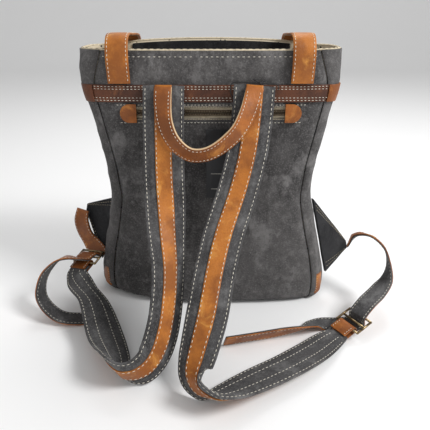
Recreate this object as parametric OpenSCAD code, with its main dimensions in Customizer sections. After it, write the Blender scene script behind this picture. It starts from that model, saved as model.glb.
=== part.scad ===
// Canvas and leather travel backpack, standing on its base with the
// wearer's side towards -Y. Origin at the middle of the base, +Z up.

/* [Cloth and leather] */
// Thickness of the outer canvas
canvas_t = 1.8; // [1.4:0.1:2.0]
// Thickness of the cotton lining
lining_t = 1.0; // [0.6:0.1:1.0]
// Thickness of the leather band and patches
leather_t = 1.9; // [1.4:0.1:2.0]
// Gap left between two sewn pieces
seam_gap = 0.3; // [0.2:0.05:0.3]

/* [Leather band] */
// Height of the band's lower edge above the base
band_low = 283; // [280:1:285]
// Height of the band's upper edge above the base
band_high = 303; // [300:1:303]

/* [Shoulder straps] */
// Width of the canvas shoulder strap
strap_w = 48; // [44:1:49]
// Thickness of the padded shoulder strap
strap_t = 5; // [4.6:0.2:5]
// Width of the leather strip along the middle of each strap
strip_w = 19.5; // [16:0.5:22]
// Width of the adjusting webbing
webbing_w = 25; // [22:1:25]
// Thickness of the adjusting webbing
webbing_t = 2.8; // [2.4:0.2:2.8]

/* [Handle and closure straps] */
// Width of the carrying handle
handle_w = 20; // [16:1:20]
// Thickness of the folded handle leather
handle_t = 3.4; // [3:0.2:3.4]
// Width of the two straps over the mouth
closure_w = 26; // [22:1:26]
// Thickness of the two straps over the mouth
closure_t = 3; // [2.4:0.2:3]
// Distance of each closure strap from the middle
closure_x = 106; // [104:1:107]

/* [Back pocket] */
// Height of the zip above the base
zip_z = 270; // [268:1:271]
// Length of the zip's opening
zip_len = 200; // [196:2:200]

/* [Hidden] */
$fn = 32;

charcoal = [0.22, 0.22, 0.23];
black_canvas = [0.08, 0.08, 0.09];
tan = [0.62, 0.34, 0.15];
dark_tan = [0.30, 0.15, 0.09];
cream = [0.83, 0.77, 0.66];
brass = [0.48, 0.38, 0.22];
black = [0.05, 0.05, 0.05];

// Heights that the seams share
rim_z = 341;
seam_z = (band_low + band_high) / 2;
back_y = -60;

// Level, half width, back face, front face and squareness of the bag's outline
OUTLINE = [[0, 150, -52, 48, 6], [6, 156, -58, 55, 6], [14, 159, -60, 58, 6],
    [40, 158, -60, 61, 6], [75, 151, -60, 62, 6], [110, 141, -60, 61, 6],
    [158, 130, -60, 58, 6], [200, 132, -60, 55, 7], [237, 138, -60, 51, 8],
    [270, 145, -60, 47, 8], [300, 153, -60, 43, 7], [322, 155, -60, 41, 4.5],
    [341, 157, -60, 40, 3.2], [360, 157, -60, 40, 3.2]];

// How far the back panel swells out at its middle, by level
BELLY = [[0, 0], [10, 7], [60, 10], [150, 6], [210, 1], [235, 0]];
// How far the left lower corner sits back, by level
LAG = [[0, 34], [60, 26], [110, 10], [150, 0]];
// How far the lining stands inside the back canvas, leaving room for the pocket
LINING_BACK = [[0, 12], [280, 12], [292, 2.1], [360, 2.1]];
// Levels and columns that every piece of the wall shares, closer together where it curves
LEVELS = [0, 3, 7, 12, 20, 32, 48, 66, 84, 102, 120, 138, 156, 174, 192, 210, 228, 246, 264, 280,
    293, 306, 318, 330, 341];
COLUMNS = [for (q = [0:3], j = [0:17]) q + 0.5 - 0.5 * cos(10 * j)];

// Straps are rows of a centre point, the direction across the strap and a width factor
LEFT_STRAP = [
    [-54.5, -66, 303, 1, 0, 0, 1], [-55, -79, 268, 1, 0, 0, 1], [-55, -90, 231, 1, 0, 0, 1],
    [-55, -97, 201, 1, 0.05, -0.04, 1], [-54, -106, 178, 0.98, 0.15, -0.1, 1],
    [-52, -126, 140, 0.86, 0.4, -0.25, 1], [-49, -150, 105, 0.72, 0.55, -0.4, 1],
    [-51, -180, 68, 0.66, 0.45, -0.6, 1], [-57, -201, 44, 0.62, 0.38, -0.69, 1],
    [-66, -217, 31, 0.5, 0.35, -0.8, 1], [-79, -228, 27, 0.3, 0.34, -0.87, 1],
    [-94, -229, 26, 0.1, 0.4, -0.85, 1], [-105, -217, 25, 0.35, 0.45, -0.8, 1],
    [-113, -195, 22, 0.7, 0.4, -0.6, 1], [-130, -155, 18, 0.85, 0.38, -0.36, 1],
    [-152, -108, 31, 0.8, 0.39, -0.48, 0.94], [-172, -86, 41, 0.85, 0.1, -0.35, 0.78],
    [-184.5, -68, 49.5, 0.9, -0.3, 0.05, 0.6], [-184.5, -58.3, 53, 0.9, -0.38, 0.1, 0.56],
    [-181.3, -50.2, 55.3, 0.9, -0.38, 0.1, 0.56]];
RIGHT_STRAP = [
    [51, -66, 303, 1, 0, 0, 1], [48, -79, 268, 1, 0, 0, 1], [43, -90, 231, 1, 0, 0, 1],
    [36, -97, 201, 1, -0.02, 0, 1], [29, -106, 178, 1, -0.03, 0, 1],
    [15, -130, 143, 1, -0.05, 0, 1], [5, -157, 110, 1, -0.05, 0.05, 1],
    [-3, -190, 78, 1, -0.1, 0.1, 1], [-10, -212, 56, 0.92, -0.25, 0.28, 1],
    [-15, -226, 41, 0.85, -0.35, 0.4, 1], [-17, -236, 32, 0.7, -0.5, 0.5, 1],
    [-13, -247, 26, 0.4, -0.55, 0.74, 1], [-4, -255, 24, 0.1, -0.6, 0.78, 1],
    [8, -257, 21, 0.2, -0.75, 0.6, 1], [22, -247, 17, 0.45, -0.8, 0.4, 1],
    [54, -224, 13, 0.52, -0.82, 0.26, 1], [90, -201, 12, 0.52, -0.82, 0.24, 1],
    [122, -175, 9, 0.53, -0.82, 0.15, 0.9], [146, -152, 6.5, 0.53, -0.84, 0.05, 0.74],
    [158, -142, 6, 0.52, -0.85, 0, 0.6], [162, -138.5, 7, 0.52, -0.85, 0, 0.56]];
// The row at which a strap leaves the bag's back and starts to hang free
HANG_ROW = 3;
// Gap between the sewn top of a strap and its free length, for the bend
bend_gap = 2;

// Across the middle of the handle, from its left end to its right end
HANDLE = [
    [-54.5, -74.2, 302.5, 1, 0, 0, 1], [-55, -82.8, 285, 0.97, -0.18, 0.1, 1],
    [-52, -91.5, 264, 0.85, -0.35, 0.4, 1], [-43, -99, 246, 0.6, -0.4, 0.7, 1],
    [-28, -102, 233, 0.25, -0.45, 0.86, 1], [-14, -102.5, 230, 0, -0.47, 0.88, 1],
    [2, -102, 234, -0.25, -0.45, 0.86, 1], [19, -99, 245, -0.5, -0.42, 0.76, 1],
    [33, -95, 259, -0.7, -0.35, 0.6, 1], [44, -86, 280, -0.92, -0.25, 0.3, 1],
    [51, -74.2, 302.5, -1, 0, 0, 1]];

// Side profile of a closure strap, from the back seam over the mouth to the front
CLOSURE = [
    [0, -63.4, 305, 1, 0, 0, 1], [0, -65.5, 316, 1, 0, 0, 1], [0, -67, 330, 1, 0, 0, 1],
    [0, -64, 345, 1, 0, 0, 1], [0, -55, 355, 1, 0, 0, 1], [0, -40, 357.5, 1, 0, 0, 1],
    [0, -15, 356, 1, 0, 0, 1], [0, 15, 354.5, 1, 0, 0, 1], [0, 34, 351.5, 1, 0, 0, 1],
    [0, 45, 343, 1, 0, 0, 1], [0, 49.5, 330, 1, 0, 0, 1], [0, 52.5, 305, 1, 0, 0, 1],
    [0, 55.5, 275, 1, 0, 0, 1], [0, 57, 250, 1, 0, 0, 1], [0, 58.5, 232, 1, 0, 0, 0.96],
    [0, 59.5, 222, 1, 0, 0, 0.6]];

// Middle of each adjuster, then the directions along its bars and along the strap
LEFT_ADJUSTER = [[-175, -34, 60], [0.9, -0.38, 0.1], [0.35, 0.9, 0.26]];
RIGHT_ADJUSTER = [[184, -124, 16], [0.52, -0.854, 0], [0.81, 0.493, 0.32]];
// A point of an adjuster's own frame, y along the strap and z through it, as a strap's row
function slide_row(place, y, z) = let(
    u = unit(place[1]), v = square_to(place[2], u), p = place[0] + y * v + z * cross(u, v))
    concat(p, u, [1]);
// Webbing routes, from the wing's tip through the adjuster to the loose tail
LEFT_WEBBING = concat([
    [-189, 13, 113, 0.75, -0.3, 0.4, 1], [-192, 8, 99, 0.8, -0.3, 0.4, 1],
    [-189, 5, 82, 0.85, -0.35, 0.3, 1], [-180, 0, 67, 0.9, -0.38, 0.1, 1]],
    [for (q = [[20, -8.5], [12, -6.2], [7.6, -3], [6, 0], [4.4, 2.9], [0, 4.6], [-6, 6], [-13, 7.6]])
        slide_row(LEFT_ADJUSTER, q[0], q[1])],
    [[-190, -54, 69, 0.7, -0.7, 0.2, 1],
    [-201, -57, 71, 0.35, -0.85, 0.35, 1], [-214, -61, 66, 0.2, -0.85, 0.5, 1],
    [-226, -71, 54, 0, -0.85, 0.55, 1], [-230, -81, 41, -0.1, -0.87, 0.5, 1],
    [-227, -92, 28, -0.2, -0.9, 0.35, 1], [-214, -101, 15, -0.2, -0.95, 0.2, 1],
    [-196, -105, 6, -0.05, -1, 0.05, 1], [-167, -101, 2.2, 0.15, -0.98, 0, 1],
    [-137, -90, 2.2, 0.35, -0.93, 0, 1]]);
RIGHT_WEBBING = concat([
    [204, -3, 69, 0.3, -0.9, -0.2, 1], [212, -16, 85, 0.05, -0.92, 0.15, 1],
    [225, -36, 92, -0.1, -0.9, 0.25, 1], [238, -52, 83, -0.15, -0.88, 0.3, 1],
    [242, -63, 66, -0.1, -0.9, 0.2, 1], [236, -78, 50, 0.1, -0.93, 0.05, 1],
    [221, -94, 40, 0.35, -0.88, 0, 1], [203, -110, 34, 0.5, -0.85, 0, 1]],
    [for (q = [[10, 6], [7.2, 3], [6, 0], [4.6, -4.4]]) slide_row(RIGHT_ADJUSTER, q[0], q[1])],
    [[181, -119, 6.6, 0.5, -0.86, 0.06, 1],
    [169, -115, 2.8, 0.35, -0.93, 0, 1], [150, -113, 2.2, 0.25, -0.93, 0, 1],
    [137, -117, 3.5, 0.2, -0.85, 0.2, 1],
    [122, -131, 10, 0.15, -0.65, 0.6, 1], [90, -142, 12, 0.15, -0.5, 0.8, 1],
    [55, -151, 12, 0.15, -0.5, 0.82, 1], [17, -160, 12, 0.15, -0.5, 0.82, 1]]);

// The tag's string, from behind the right strap round its top and down to the tag
TAG_STRING = [
    [79, -64, 298], [78.5, -66, 302.5], [74, -67, 304.8], [62, -67, 305.5], [50, -67, 306.2],
    [38, -67, 306.9], [28, -67, 307], [23.4, -67, 304], [23, -67.2, 296],
    [26, -67.2, 289], [28, -69, 284], [29, -71.6, 279], [29, -73.3, 273], [28, -73.2, 264],
    [24, -70.5, 256], [20, -68.6, 251], [17.3, -67.4, 247.8], [17, -66.6, 247.2]];
string_r = 0.6;
tag_w = 46;
tag_h = 88;
tag_t = 1.2;
TAG_HOLE = [17, -66.6, 247];

function unit(v) = v / norm(v);
function xyz(row) = [row[0], row[1], row[2]];
function across(row) = [row[3], row[4], row[5]];
// Rounded reading of column k of a table at level z
function soft(table, z, k) = let(
    one = [for (row = table) [row[0], row[k]]],
    samples = [for (dz = [-9:3:9]) lookup(z + dz, one)])
    samples * [for (s = samples) 1] / len(samples);
function soft_end(table, z, k) = let(one = [for (row = table) [row[0], row[k]]])
    z < 12 ? lookup(z, one) : soft(table, z, k);

// Which way the outline's point s lies: 0 to 1 back, 1 to 2 right, 2 to 3 front, 3 to 4 left
function aim(s) = s < 1 ? [2 * s - 1, -1] : s < 2 ? [1, 2 * s - 3]
    : s < 3 ? [5 - 2 * s, 1] : [-1, 7 - 2 * s];
// A point of the bag's wall at level z, moved out by off, with its back moved in by back_in
function wall(s, z, off, back_in = 0) = let(
    m = aim(s), n = soft_end(OUTLINE, z, 4),
    k = pow(pow(abs(m[0]), n) + pow(abs(m[1]), n), -1 / n),
    w = soft_end(OUTLINE, z, 1) + off,
    near = soft_end(OUTLINE, z, 2) - off + back_in,
    far = soft_end(OUTLINE, z, 3) + off,
    x = k * m[0], side = min(1, max(0, -k * m[1])),
    swell = soft_end(BELLY, z, 1) * (1 - x * x) * side * (1 - back_in / 10),
    rest = soft_end(LAG, z, 1) * pow(max(0, -x), 3) * side)
    [w * x, (near + far) / 2 + k * m[1] * (far - near) / 2 - swell + rest, z];
// The rim rises a little at the middle of the front
function rim(s, z) = s > 2 && s < 3 ? z + (z - seam_z) / (rim_z - seam_z) * 7 * (1 - pow(2 * s - 5, 2)) : z;
function between(a, list, b, gap) = concat([a], [for (v = list) if (v > a + gap && v < b - gap) v], [b]);
function rows_of(s0, s1, z0, z1, off) =
    [for (z = between(z0, LEVELS, z1, 1)) [for (s = between(s0, COLUMNS, s1, 0.004))
        wall(s, z > seam_z ? rim(s, z) : z, off)]];

// A closed sheet between an outer and an inner grid of points
module sheet(outer, inner, ring = false) {
    rows = len(outer);
    cols = len(outer[0]);
    n = rows * cols;
    last = ring ? cols - 1 : cols - 2;
    function id(i, j) = i * cols + j % cols;
    points = concat([for (r = outer) each r], [for (r = inner) each r]);
    out = [for (i = [0:rows - 2], j = [0:last])
        each [[id(i, j), id(i + 1, j), id(i + 1, j + 1)], [id(i, j), id(i + 1, j + 1), id(i, j + 1)]]];
    in = [for (f = out) [f[2] + n, f[1] + n, f[0] + n]];
    low = [for (j = [0:last])
        each [[id(0, j), id(0, j + 1), id(0, j + 1) + n], [id(0, j), id(0, j + 1) + n, id(0, j) + n]]];
    t = rows - 1;
    high = [for (j = [0:last])
        each [[id(t, j) + n, id(t, j + 1) + n, id(t, j + 1)], [id(t, j) + n, id(t, j + 1), id(t, j)]]];
    c = cols - 1;
    sides = ring ? [] : [for (i = [0:rows - 2]) each [
        [id(i, 0), i * cols + n, (i + 1) * cols + n], [id(i, 0), (i + 1) * cols + n, (i + 1) * cols],
        [(i + 1) * cols + c, (i + 1) * cols + c + n, i * cols + c + n],
        [(i + 1) * cols + c, i * cols + c + n, i * cols + c]]];
    polyhedron(points, concat(out, in, low, high, sides));
}

// A piece of the bag's wall of thickness t whose outer face stands off from the outline
module wall_piece(s0, s1, z0, z1, off, t) {
    sheet(rows_of(s0, s1, z0, z1, off), rows_of(s0, s1, z0, z1, off - t));
}

function spline(a, b, c, d, t) = 0.5 * (2 * b + (c - a) * t + (2 * a - 5 * b + 4 * c - d) * t * t
    + (3 * b - a - 3 * c + d) * t * t * t);
// A smooth line through the rows, with per steps between two rows
function smooth(rows, per) = let(e = len(rows) - 1) concat(
    [for (i = [0:e - 1], k = [0:per - 1])
        spline(rows[max(i - 1, 0)], rows[i], rows[i + 1], rows[min(i + 2, e)], k / per)],
    [rows[e]]);
function heading(line, i) = unit(xyz(line[min(i + 1, len(line) - 1)]) - xyz(line[max(i - 1, 0)]));
function square_to(d, t) = unit(d - (d * t) * t);

// The ring of four corners of a strap at step i: u runs across it and v through it
function corners(line, i, u0, u1, v0, v1) = let(
    t = heading(line, i), d = square_to(across(line[i]), t), n = cross(t, d),
    p = xyz(line[i]), f = line[i][6])
    [p + d * u0 * f + n * v0, p + d * u1 * f + n * v0, p + d * u1 * f + n * v1, p + d * u0 * f + n * v1];

// The ring of a strap that carries a leather strip, with corners under the strip's edges
function strap_ring(line, i, half, mid, v0, v1) = let(
    low = corners(line, i, -half, half, v0, v1), in = corners(line, i, -mid, mid, v0, v1))
    [low[0], in[0], in[1], low[1], low[2], in[2], in[3], low[3]];

// A solid skinned over rings of points that follow each other
module skin(rings) {
    k = len(rings[0]);
    e = len(rings) - 1;
    sides = [for (i = [0:e - 1], j = [0:k - 1]) let(a = i * k + j, b = i * k + (j + 1) % k)
        each j < k / 2 - 0.5 ? [[a, a + k, b], [b, a + k, b + k]] : [[a, a + k, b + k], [a, b + k, b]]];
    first = [for (j = [1:k - 2]) [0, j, j + 1]];
    last = [for (j = [1:k - 2]) [e * k, e * k + j + 1, e * k + j]];
    polyhedron([for (r = rings) each r], concat(sides, first, last));
}

module ribbon(rows, w, v0, v1, per = 3) {
    line = smooth(rows, per);
    skin([for (i = [0:len(line) - 1]) corners(line, i, -w / 2, w / 2, v0, v1)]);
}

module edge_ribbon(rows, u0, u1, v0, v1, per = 3) {
    line = smooth(rows, per);
    skin([for (i = [0:len(line) - 1]) corners(line, i, u0, u1, v0, v1)]);
}

module tube(points, r, sides = 8, per = 2) {
    line = smooth(points, per);
    skin([for (i = [0:len(line) - 1]) let(
        t = heading(line, i), d = square_to(abs(t[2]) > 0.9 ? [1, 0, 0] : [0, 0, 1], t), n = cross(t, d))
        [for (a = [0:sides - 1]) line[i] + r * (cos(a * 360 / sides) * d + sin(a * 360 / sides) * n)]]);
}

// Puts a piece drawn in an adjuster's own frame (X along its bars, Y along the strap) in place
module at_adjuster(place) {
    p = place[0];
    u = unit(place[1]);
    v = square_to(place[2], u);
    w = cross(u, v);
    multmatrix([[u[0], v[0], w[0], p[0]], [u[1], v[1], w[1], p[1]], [u[2], v[2], w[2], p[2]], [0, 0, 0, 1]])
        children();
}

// ---- the bag's walls ----
gap_back = 0.0012;
gap_side = 0.0035;

module back_panel() {
    color(charcoal) difference() {
        wall_piece(gap_back, 1 - gap_back, 0, seam_z - 0.2, 0, canvas_t);
        translate([-zip_len / 2, back_y - 10, zip_z - 7]) cube([zip_len, 20, 14]);
    }
}

module front_panel() {
    color(charcoal) wall_piece(2 + gap_back, 3 - gap_back, 0, seam_z - 0.2, 0, canvas_t);
}

module gusset(s0) {
    color(charcoal) wall_piece(s0 + gap_side, s0 + 1 - gap_side, 0, rim_z, 0, canvas_t);
}

module left_gusset() gusset(3);
module right_gusset() gusset(1);

// The base fills the walls' lower outline
module base_panel() {
    color(black_canvas) linear_extrude(canvas_t)
        polygon([for (s = COLUMNS) let(p = wall(s, 0, -canvas_t - seam_gap)) [p[0], p[1]]]);
}

module back_collar() {
    color(charcoal) wall_piece(gap_back, 1 - gap_back, seam_z + 0.2, rim_z, 0, canvas_t);
}

module front_collar() {
    color(charcoal) wall_piece(2 + gap_back, 3 - gap_back, seam_z + 0.2, rim_z, 0, canvas_t);
}

// Binding that closes the rim over the canvas and the lining
module rim_binding() {
    function ring_at(dz, off) = [for (s = COLUMNS) let(p = wall(s, rim(s, rim_z), off))
        [p[0], p[1], p[2] + dz]];
    inner = -canvas_t - 1 - lining_t;
    color(cream) sheet([ring_at(0.3, 0), ring_at(1.5, 0)],
        [ring_at(0.3, inner), ring_at(1.5, inner)], ring = true);
}

module band_back() {
    color(dark_tan) wall_piece(-0.5 + 4, 4, band_low, band_high, seam_gap + leather_t, leather_t);
    color(dark_tan) wall_piece(0.0005, 0.9995, band_low, band_high, seam_gap + leather_t, leather_t);
    color(dark_tan) wall_piece(1, 1.498, band_low, band_high, seam_gap + leather_t, leather_t);
}

module band_front() {
    color(tan) wall_piece(1.502, 3.498, band_low, band_high, seam_gap + leather_t, leather_t);
}

// Leather patches that cover the gussets' lower back corners
module corner_patches() {
    color(tan) {
        wall_piece(1.04, 1.26, 9, 42, seam_gap + leather_t, leather_t);
        wall_piece(3.74, 3.96, 9, 42, seam_gap + leather_t, leather_t);
    }
}

// ---- inside ----
module lining() {
    outer = -canvas_t - 1;
    columns = [for (j = [0:2:71]) COLUMNS[j]];
    function level(z, off) = [for (s = columns)
        wall(s, z > seam_z ? rim(s, z) : z, off, soft(LINING_BACK, z, 1) - 2.1)];
    zs = between(9, LEVELS, rim_z, 1);
    color(cream) {
        sheet([for (z = zs) level(z, outer)], [for (z = zs) level(z, outer - lining_t)], ring = true);
        translate([0, 0, 8]) linear_extrude(1)
            polygon([for (p = level(9, outer)) [p[0], p[1]]]);
    }
}

module base_board() {
    color(black) translate([0, 0, 2.2]) linear_extrude(4.6)
        polygon([for (j = [0:2:71]) let(p = wall(COLUMNS[j], 2, -7)) [p[0], p[1]]]);
}

module inner_pocket() {
    color(cream) difference() {
        translate([-95, 40, 60]) cube([190, 8.6, 160]);
        translate([-93.8, 41.2, 61.2]) cube([187.6, 6.2, 170]);
    }
}

// The pocket behind the zip, open towards the zip
module back_pocket_bag() {
    color(cream) difference() {
        translate([-104, -54.8, 112]) cube([208, 4.6, 166]);
        translate([-103.2, -54, 112.8]) cube([206.4, 3, 164.4]);
        translate([-97, -56, zip_z - 6]) cube([194, 2.5, 12]);
    }
}

// ---- back zip ----
tape_face = back_y + canvas_t + 0.8;

module back_zip_tapes() {
    color(cream) for (side = [-1, 1])
        translate([-104, tape_face, side > 0 ? zip_z + 0.8 : zip_z - 11.8]) cube([208, 0.7, 11]);
}

module back_zip_chain() {
    color(dark_tan) for (side = [-1, 1])
        translate([-96, tape_face - 2.4, zip_z + (side > 0 ? 0.6 : -2.7)]) cube([192, 2.1, 2.1]);
}

// Half-round leather patches over the zip's two ends
module back_zip_patches() {
    color(tan) for (side = [-1, 1])
        translate([side * 89, back_y - 0.3, zip_z]) rotate([90, 0, 0]) linear_extrude(leather_t)
            difference() {
                union() {
                    translate([side * 8, 0]) circle(r = 11, $fn = 48);
                    translate([side > 0 ? 0 : -8, -11]) square([8, 22]);
                }
            }
}

slider_x = -70;
slider_len = 12;

module back_zip_slider() {
    color(brass) {
        translate([slider_x - slider_len / 2, tape_face - 4.6, zip_z - 4.5]) cube([slider_len, 1.8, 9]);
        translate([slider_x + 1, tape_face - 3, zip_z - 0.25]) cube([4, 5, 0.5]);
        translate([slider_x - slider_len / 2, tape_face + 1.2, zip_z - 4.5]) cube([slider_len, 1, 9]);
        translate([slider_x - 3.5, tape_face - 5.8, zip_z - 1]) cube([7, 1.4, 2]);
        translate([slider_x, tape_face - 5.5, zip_z]) rotate([90, 0, 0]) cylinder(r = 1.2, h = 3);
        translate([slider_x, tape_face - 7.8, zip_z]) rotate([90, 0, 0]) cylinder(r = 2.4, h = 0.7);
    }
}

// A flat leather pull that hangs from the slider's bridge
module back_zip_pull() {
    color(tan) translate([slider_x, tape_face - 6.2, zip_z]) rotate([90, 0, 0]) linear_extrude(1.2)
        difference() {
            union() {
                circle(r = 4);
                translate([-4, -20]) square([8, 20]);
                translate([0, -20]) circle(r = 4);
            }
            circle(r = 1.6);
        }
}

// ---- zip inside the mouth ----
module mouth_facings() {
    color(black_canvas) {
        wall_piece(0.13, 0.87, 307, 335, -4.4, 0.9);
        wall_piece(2.13, 2.87, 307, 335, -4.4, 0.9);
    }
}

mouth_y = -10;
joined_z = 300;
// A zip tape hangs along the mouth's wall, then turns flat beside the other one
function tape_rows(start, end, turn) = concat(
    [for (k = [0:8]) concat(wall(start + (end - start) * k / 8, 301.5, -8.5), [0, 0, -1, 1])],
    [[90, mouth_y - turn * 30, 301, 0, 0.3 * turn, -1, 1],
        [102, mouth_y - turn * 14, 300.5, 0, turn, -0.5, 1],
        [109, mouth_y - turn * 7, joined_z, 0, turn, 0, 1],
        [115, mouth_y - turn * 6.4, joined_z, 0, turn, 0, 1],
        [128, mouth_y - turn * 6.4, joined_z, 0, turn, 0, 1],
        [144, mouth_y - turn * 6.4, joined_z, 0, turn, 0, 1]]);

module mouth_zip_tapes() {
    color(cream) {
        edge_ribbon(tape_rows(0.14, 0.7, 1), -5, 5, -0.35, 0.35, 2);
        edge_ribbon(tape_rows(2.86, 2.3, -1), -5, 5, -0.35, 0.35, 2);
    }
}

module mouth_zip_chain() {
    color(dark_tan) {
        edge_ribbon(tape_rows(0.16, 0.7, 1), 5.2, 5.8, -1, 1, 2);
        edge_ribbon(tape_rows(2.84, 2.3, -1), 5.2, 5.8, -1, 1, 2);
    }
}

mouth_slider_x = 138;

module mouth_zip_slider() {
    color(brass) translate([mouth_slider_x, mouth_y, joined_z]) {
        translate([-5, -4, 1.5]) cube([10, 8, 1.6]);
        translate([-5, -4, -3.1]) cube([10, 8, 1.6]);
        translate([-4, -0.25, -2]) cube([3, 0.5, 4]);
        translate([-2.5, -1, 3]) cube([5, 2, 1.6]);
        translate([0, 0, 4.4]) cylinder(r = 1.1, h = 2.6);
        translate([0, 0, 6.6]) cylinder(r = 2.3, h = 0.7);
    }
}

module mouth_zip_pull() {
    color(tan) translate([mouth_slider_x, mouth_y, joined_z + 5]) linear_extrude(1.2)
        difference() {
            union() {
                circle(r = 3.6);
                translate([-20, -3.6]) square([20, 7.2]);
                translate([-20, 0]) circle(r = 3.6);
            }
            circle(r = 1.5);
        }
}

// ---- front ----
pocket_low = 26;
pocket_high = 198;
// The pocket stands away from the panel at its open top and middle
function pocket_grid(off, z0, z1, cols, rows) = [for (i = [0:rows]) [for (j = [0:cols]) let(
    u = 2 * j / cols - 1, z = z0 + (z1 - z0) * i / rows, v = (z - pocket_low) / (pocket_high - pocket_low),
    lift = 15 * (1 - pow(abs(u), 5)) * (1 - pow(1 - v, 4)))
    wall(2.5 + 0.39 * u, z, seam_gap + off + lift)]];

module front_pocket() {
    color(charcoal) sheet(pocket_grid(canvas_t, pocket_low, pocket_high, 18, 12),
        pocket_grid(0, pocket_low, pocket_high, 18, 12));
}

module front_pocket_trim() {
    color(tan) sheet(pocket_grid(canvas_t + seam_gap + leather_t, pocket_high - 18, pocket_high, 18, 2),
        pocket_grid(canvas_t + seam_gap, pocket_high - 18, pocket_high, 18, 2));
}

// Leather tabs sewn on the front panel under the ends of the closure straps
module closure_tabs() {
    color(tan) for (side = [-1, 1])
        wall_piece(2.5 - side * 0.372 - 0.045, 2.5 - side * 0.372 + 0.045, 212, 262,
            seam_gap + leather_t, leather_t);
}

snap_z = 238;
module snap(y, t) {
    for (side = [-1, 1]) translate([side * closure_x, y, snap_z]) rotate([-90, 0, 0]) cylinder(r = 7, h = t);
}

module snap_sockets() {
    color(brass) snap(52.95, 1.5);
}

module snap_stud(side) {
    color(brass) translate([side * closure_x, 54.9, snap_z]) rotate([-90, 0, 0]) cylinder(r = 6, h = 1);
}

module left_snap_stud() snap_stud(-1);
module right_snap_stud() snap_stud(1);

module closure_strap(side) {
    color(tan) translate([side * closure_x, 0, 0]) ribbon(CLOSURE, closure_w, -closure_t / 2, closure_t / 2);
}

module left_closure_strap() closure_strap(-1);
module right_closure_strap() closure_strap(1);

// A wire frame round the strap's front, with its prong
buckle_z = 268;
module closure_buckle(side) {
    half = closure_w / 2 + 2.6;
    color(brass) translate([side * closure_x, 55.9, buckle_z]) rotate([3.4, 0, 0]) {
        for (x = [-half, half]) translate([x, 0, -11]) cylinder(r = 1.4, h = 22);
        for (z = [-11, 11]) translate([-half, 3.4, z]) rotate([0, 90, 0]) cylinder(r = 1.4, h = 2 * half);
        for (x = [-half, half], z = [-11, 11]) translate([x, 0, z]) rotate([-90, 0, 0]) cylinder(r = 1.4, h = 3.4);
        for (x = [-half, half], z = [-11, 11]) translate([x, 3.4, z]) sphere(r = 1.4);
        translate([0, 5.6, -12]) cylinder(r = 1.1, h = 24);
    }
}

module left_closure_buckle() closure_buckle(-1);
module right_closure_buckle() closure_buckle(1);

module handle() {
    color(tan) ribbon(HANDLE, handle_w, -handle_t / 2, handle_t / 2, 5);
}

// ---- shoulder straps ----
function top_rows(rows) = [for (i = [0:HANG_ROW]) rows[i]];
function free_rows(rows) = let(
    a = rows[HANG_ROW], b = rows[HANG_ROW + 1], step = bend_gap / norm(xyz(b) - xyz(a)))
    concat([a + (b - a) * step], [for (i = [HANG_ROW + 1:len(rows) - 1]) rows[i]]);
function strip_rows(rows) = [for (i = [0:len(rows) - 4]) rows[i]];

module strap_top(rows) {
    line = smooth(top_rows(rows), 4);
    color(charcoal) skin([for (i = [0:len(line) - 1])
        strap_ring(line, i, strap_w / 2, strip_w / 2 + 0.2, -strap_t / 2, strap_t / 2)]);
}

module strip_top(rows) {
    color(tan) ribbon(top_rows(rows), strip_w, strap_t / 2 + 0.25, strap_t / 2 + 1.6, 4);
}

// A canvas sleeve with the pad's room left inside it
module strap(rows) {
    line = smooth(free_rows(rows), 4);
    half = strap_w / 2;
    mid = strip_w / 2 + 0.2;
    v = strap_t / 2;
    color(charcoal) sheet(
        [for (i = [0:len(line) - 1]) strap_ring(line, i, half, mid, -v, v)],
        [for (i = [0:len(line) - 1]) strap_ring(line, i, half - 5, mid, 1.2 - v, v - 1.2)],
        ring = true);
}

function pad_rows(rows) = let(free = free_rows(rows)) [for (i = [0:len(free) - 4]) free[i]];

module strap_pad(rows) {
    color(black) ribbon(pad_rows(rows), strap_w - 28, -strap_t / 2 + 2.15, strap_t / 2 - 2.15, 4);
}

module strip(rows) {
    color(tan) ribbon(strip_rows(free_rows(rows)), strip_w, strap_t / 2 + 0.25, strap_t / 2 + 1.6, 4);
}

module left_strap_top() strap_top(LEFT_STRAP);
module right_strap_top() strap_top(RIGHT_STRAP);
module left_strip_top() strip_top(LEFT_STRAP);
module right_strip_top() strip_top(RIGHT_STRAP);
module left_strap() strap(LEFT_STRAP);
module right_strap() strap(RIGHT_STRAP);
module left_strip() strip(LEFT_STRAP);
module right_strip() strip(RIGHT_STRAP);
module left_strap_pad() strap_pad(LEFT_STRAP);
module right_strap_pad() strap_pad(RIGHT_STRAP);

// A three-bar slide bent from round wire
slide_w = 36;
slide_l = 24;
wire_r = 1.5;

module adjuster(place) {
    hw = slide_w / 2;
    hl = slide_l / 2;
    color(brass) at_adjuster(place) {
        for (y = [-hl, 0, hl]) translate([-hw, y, 0]) rotate([0, 90, 0]) cylinder(r = wire_r, h = slide_w);
        for (x = [-hw, hw]) translate([x, -hl, 0]) rotate([-90, 0, 0]) cylinder(r = wire_r, h = slide_l);
        for (x = [-hw, hw], y = [-hl, hl]) translate([x, y, 0]) sphere(r = wire_r);
    }
}

module left_adjuster() adjuster(LEFT_ADJUSTER);
module right_adjuster() adjuster(RIGHT_ADJUSTER);

// A leather tab folded round the adjuster's near bar, over both faces of the strap's end
module end_tab(place) {
    in_r = 3.1;
    out_r = in_r + 1.4;
    leg = 16;
    color(tan) at_adjuster(place) translate([-12.5, -slide_l / 2, 0]) rotate([90, 0, 90]) linear_extrude(25)
        difference() {
            union() {
                circle(r = out_r);
                translate([-leg, -out_r]) square([leg, 2 * out_r]);
            }
            circle(r = in_r);
            translate([-leg - 1, -in_r]) square([leg + 1, 2 * in_r]);
        }
}

module left_end_tab() end_tab(LEFT_ADJUSTER);
module right_end_tab() end_tab(RIGHT_ADJUSTER);

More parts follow.
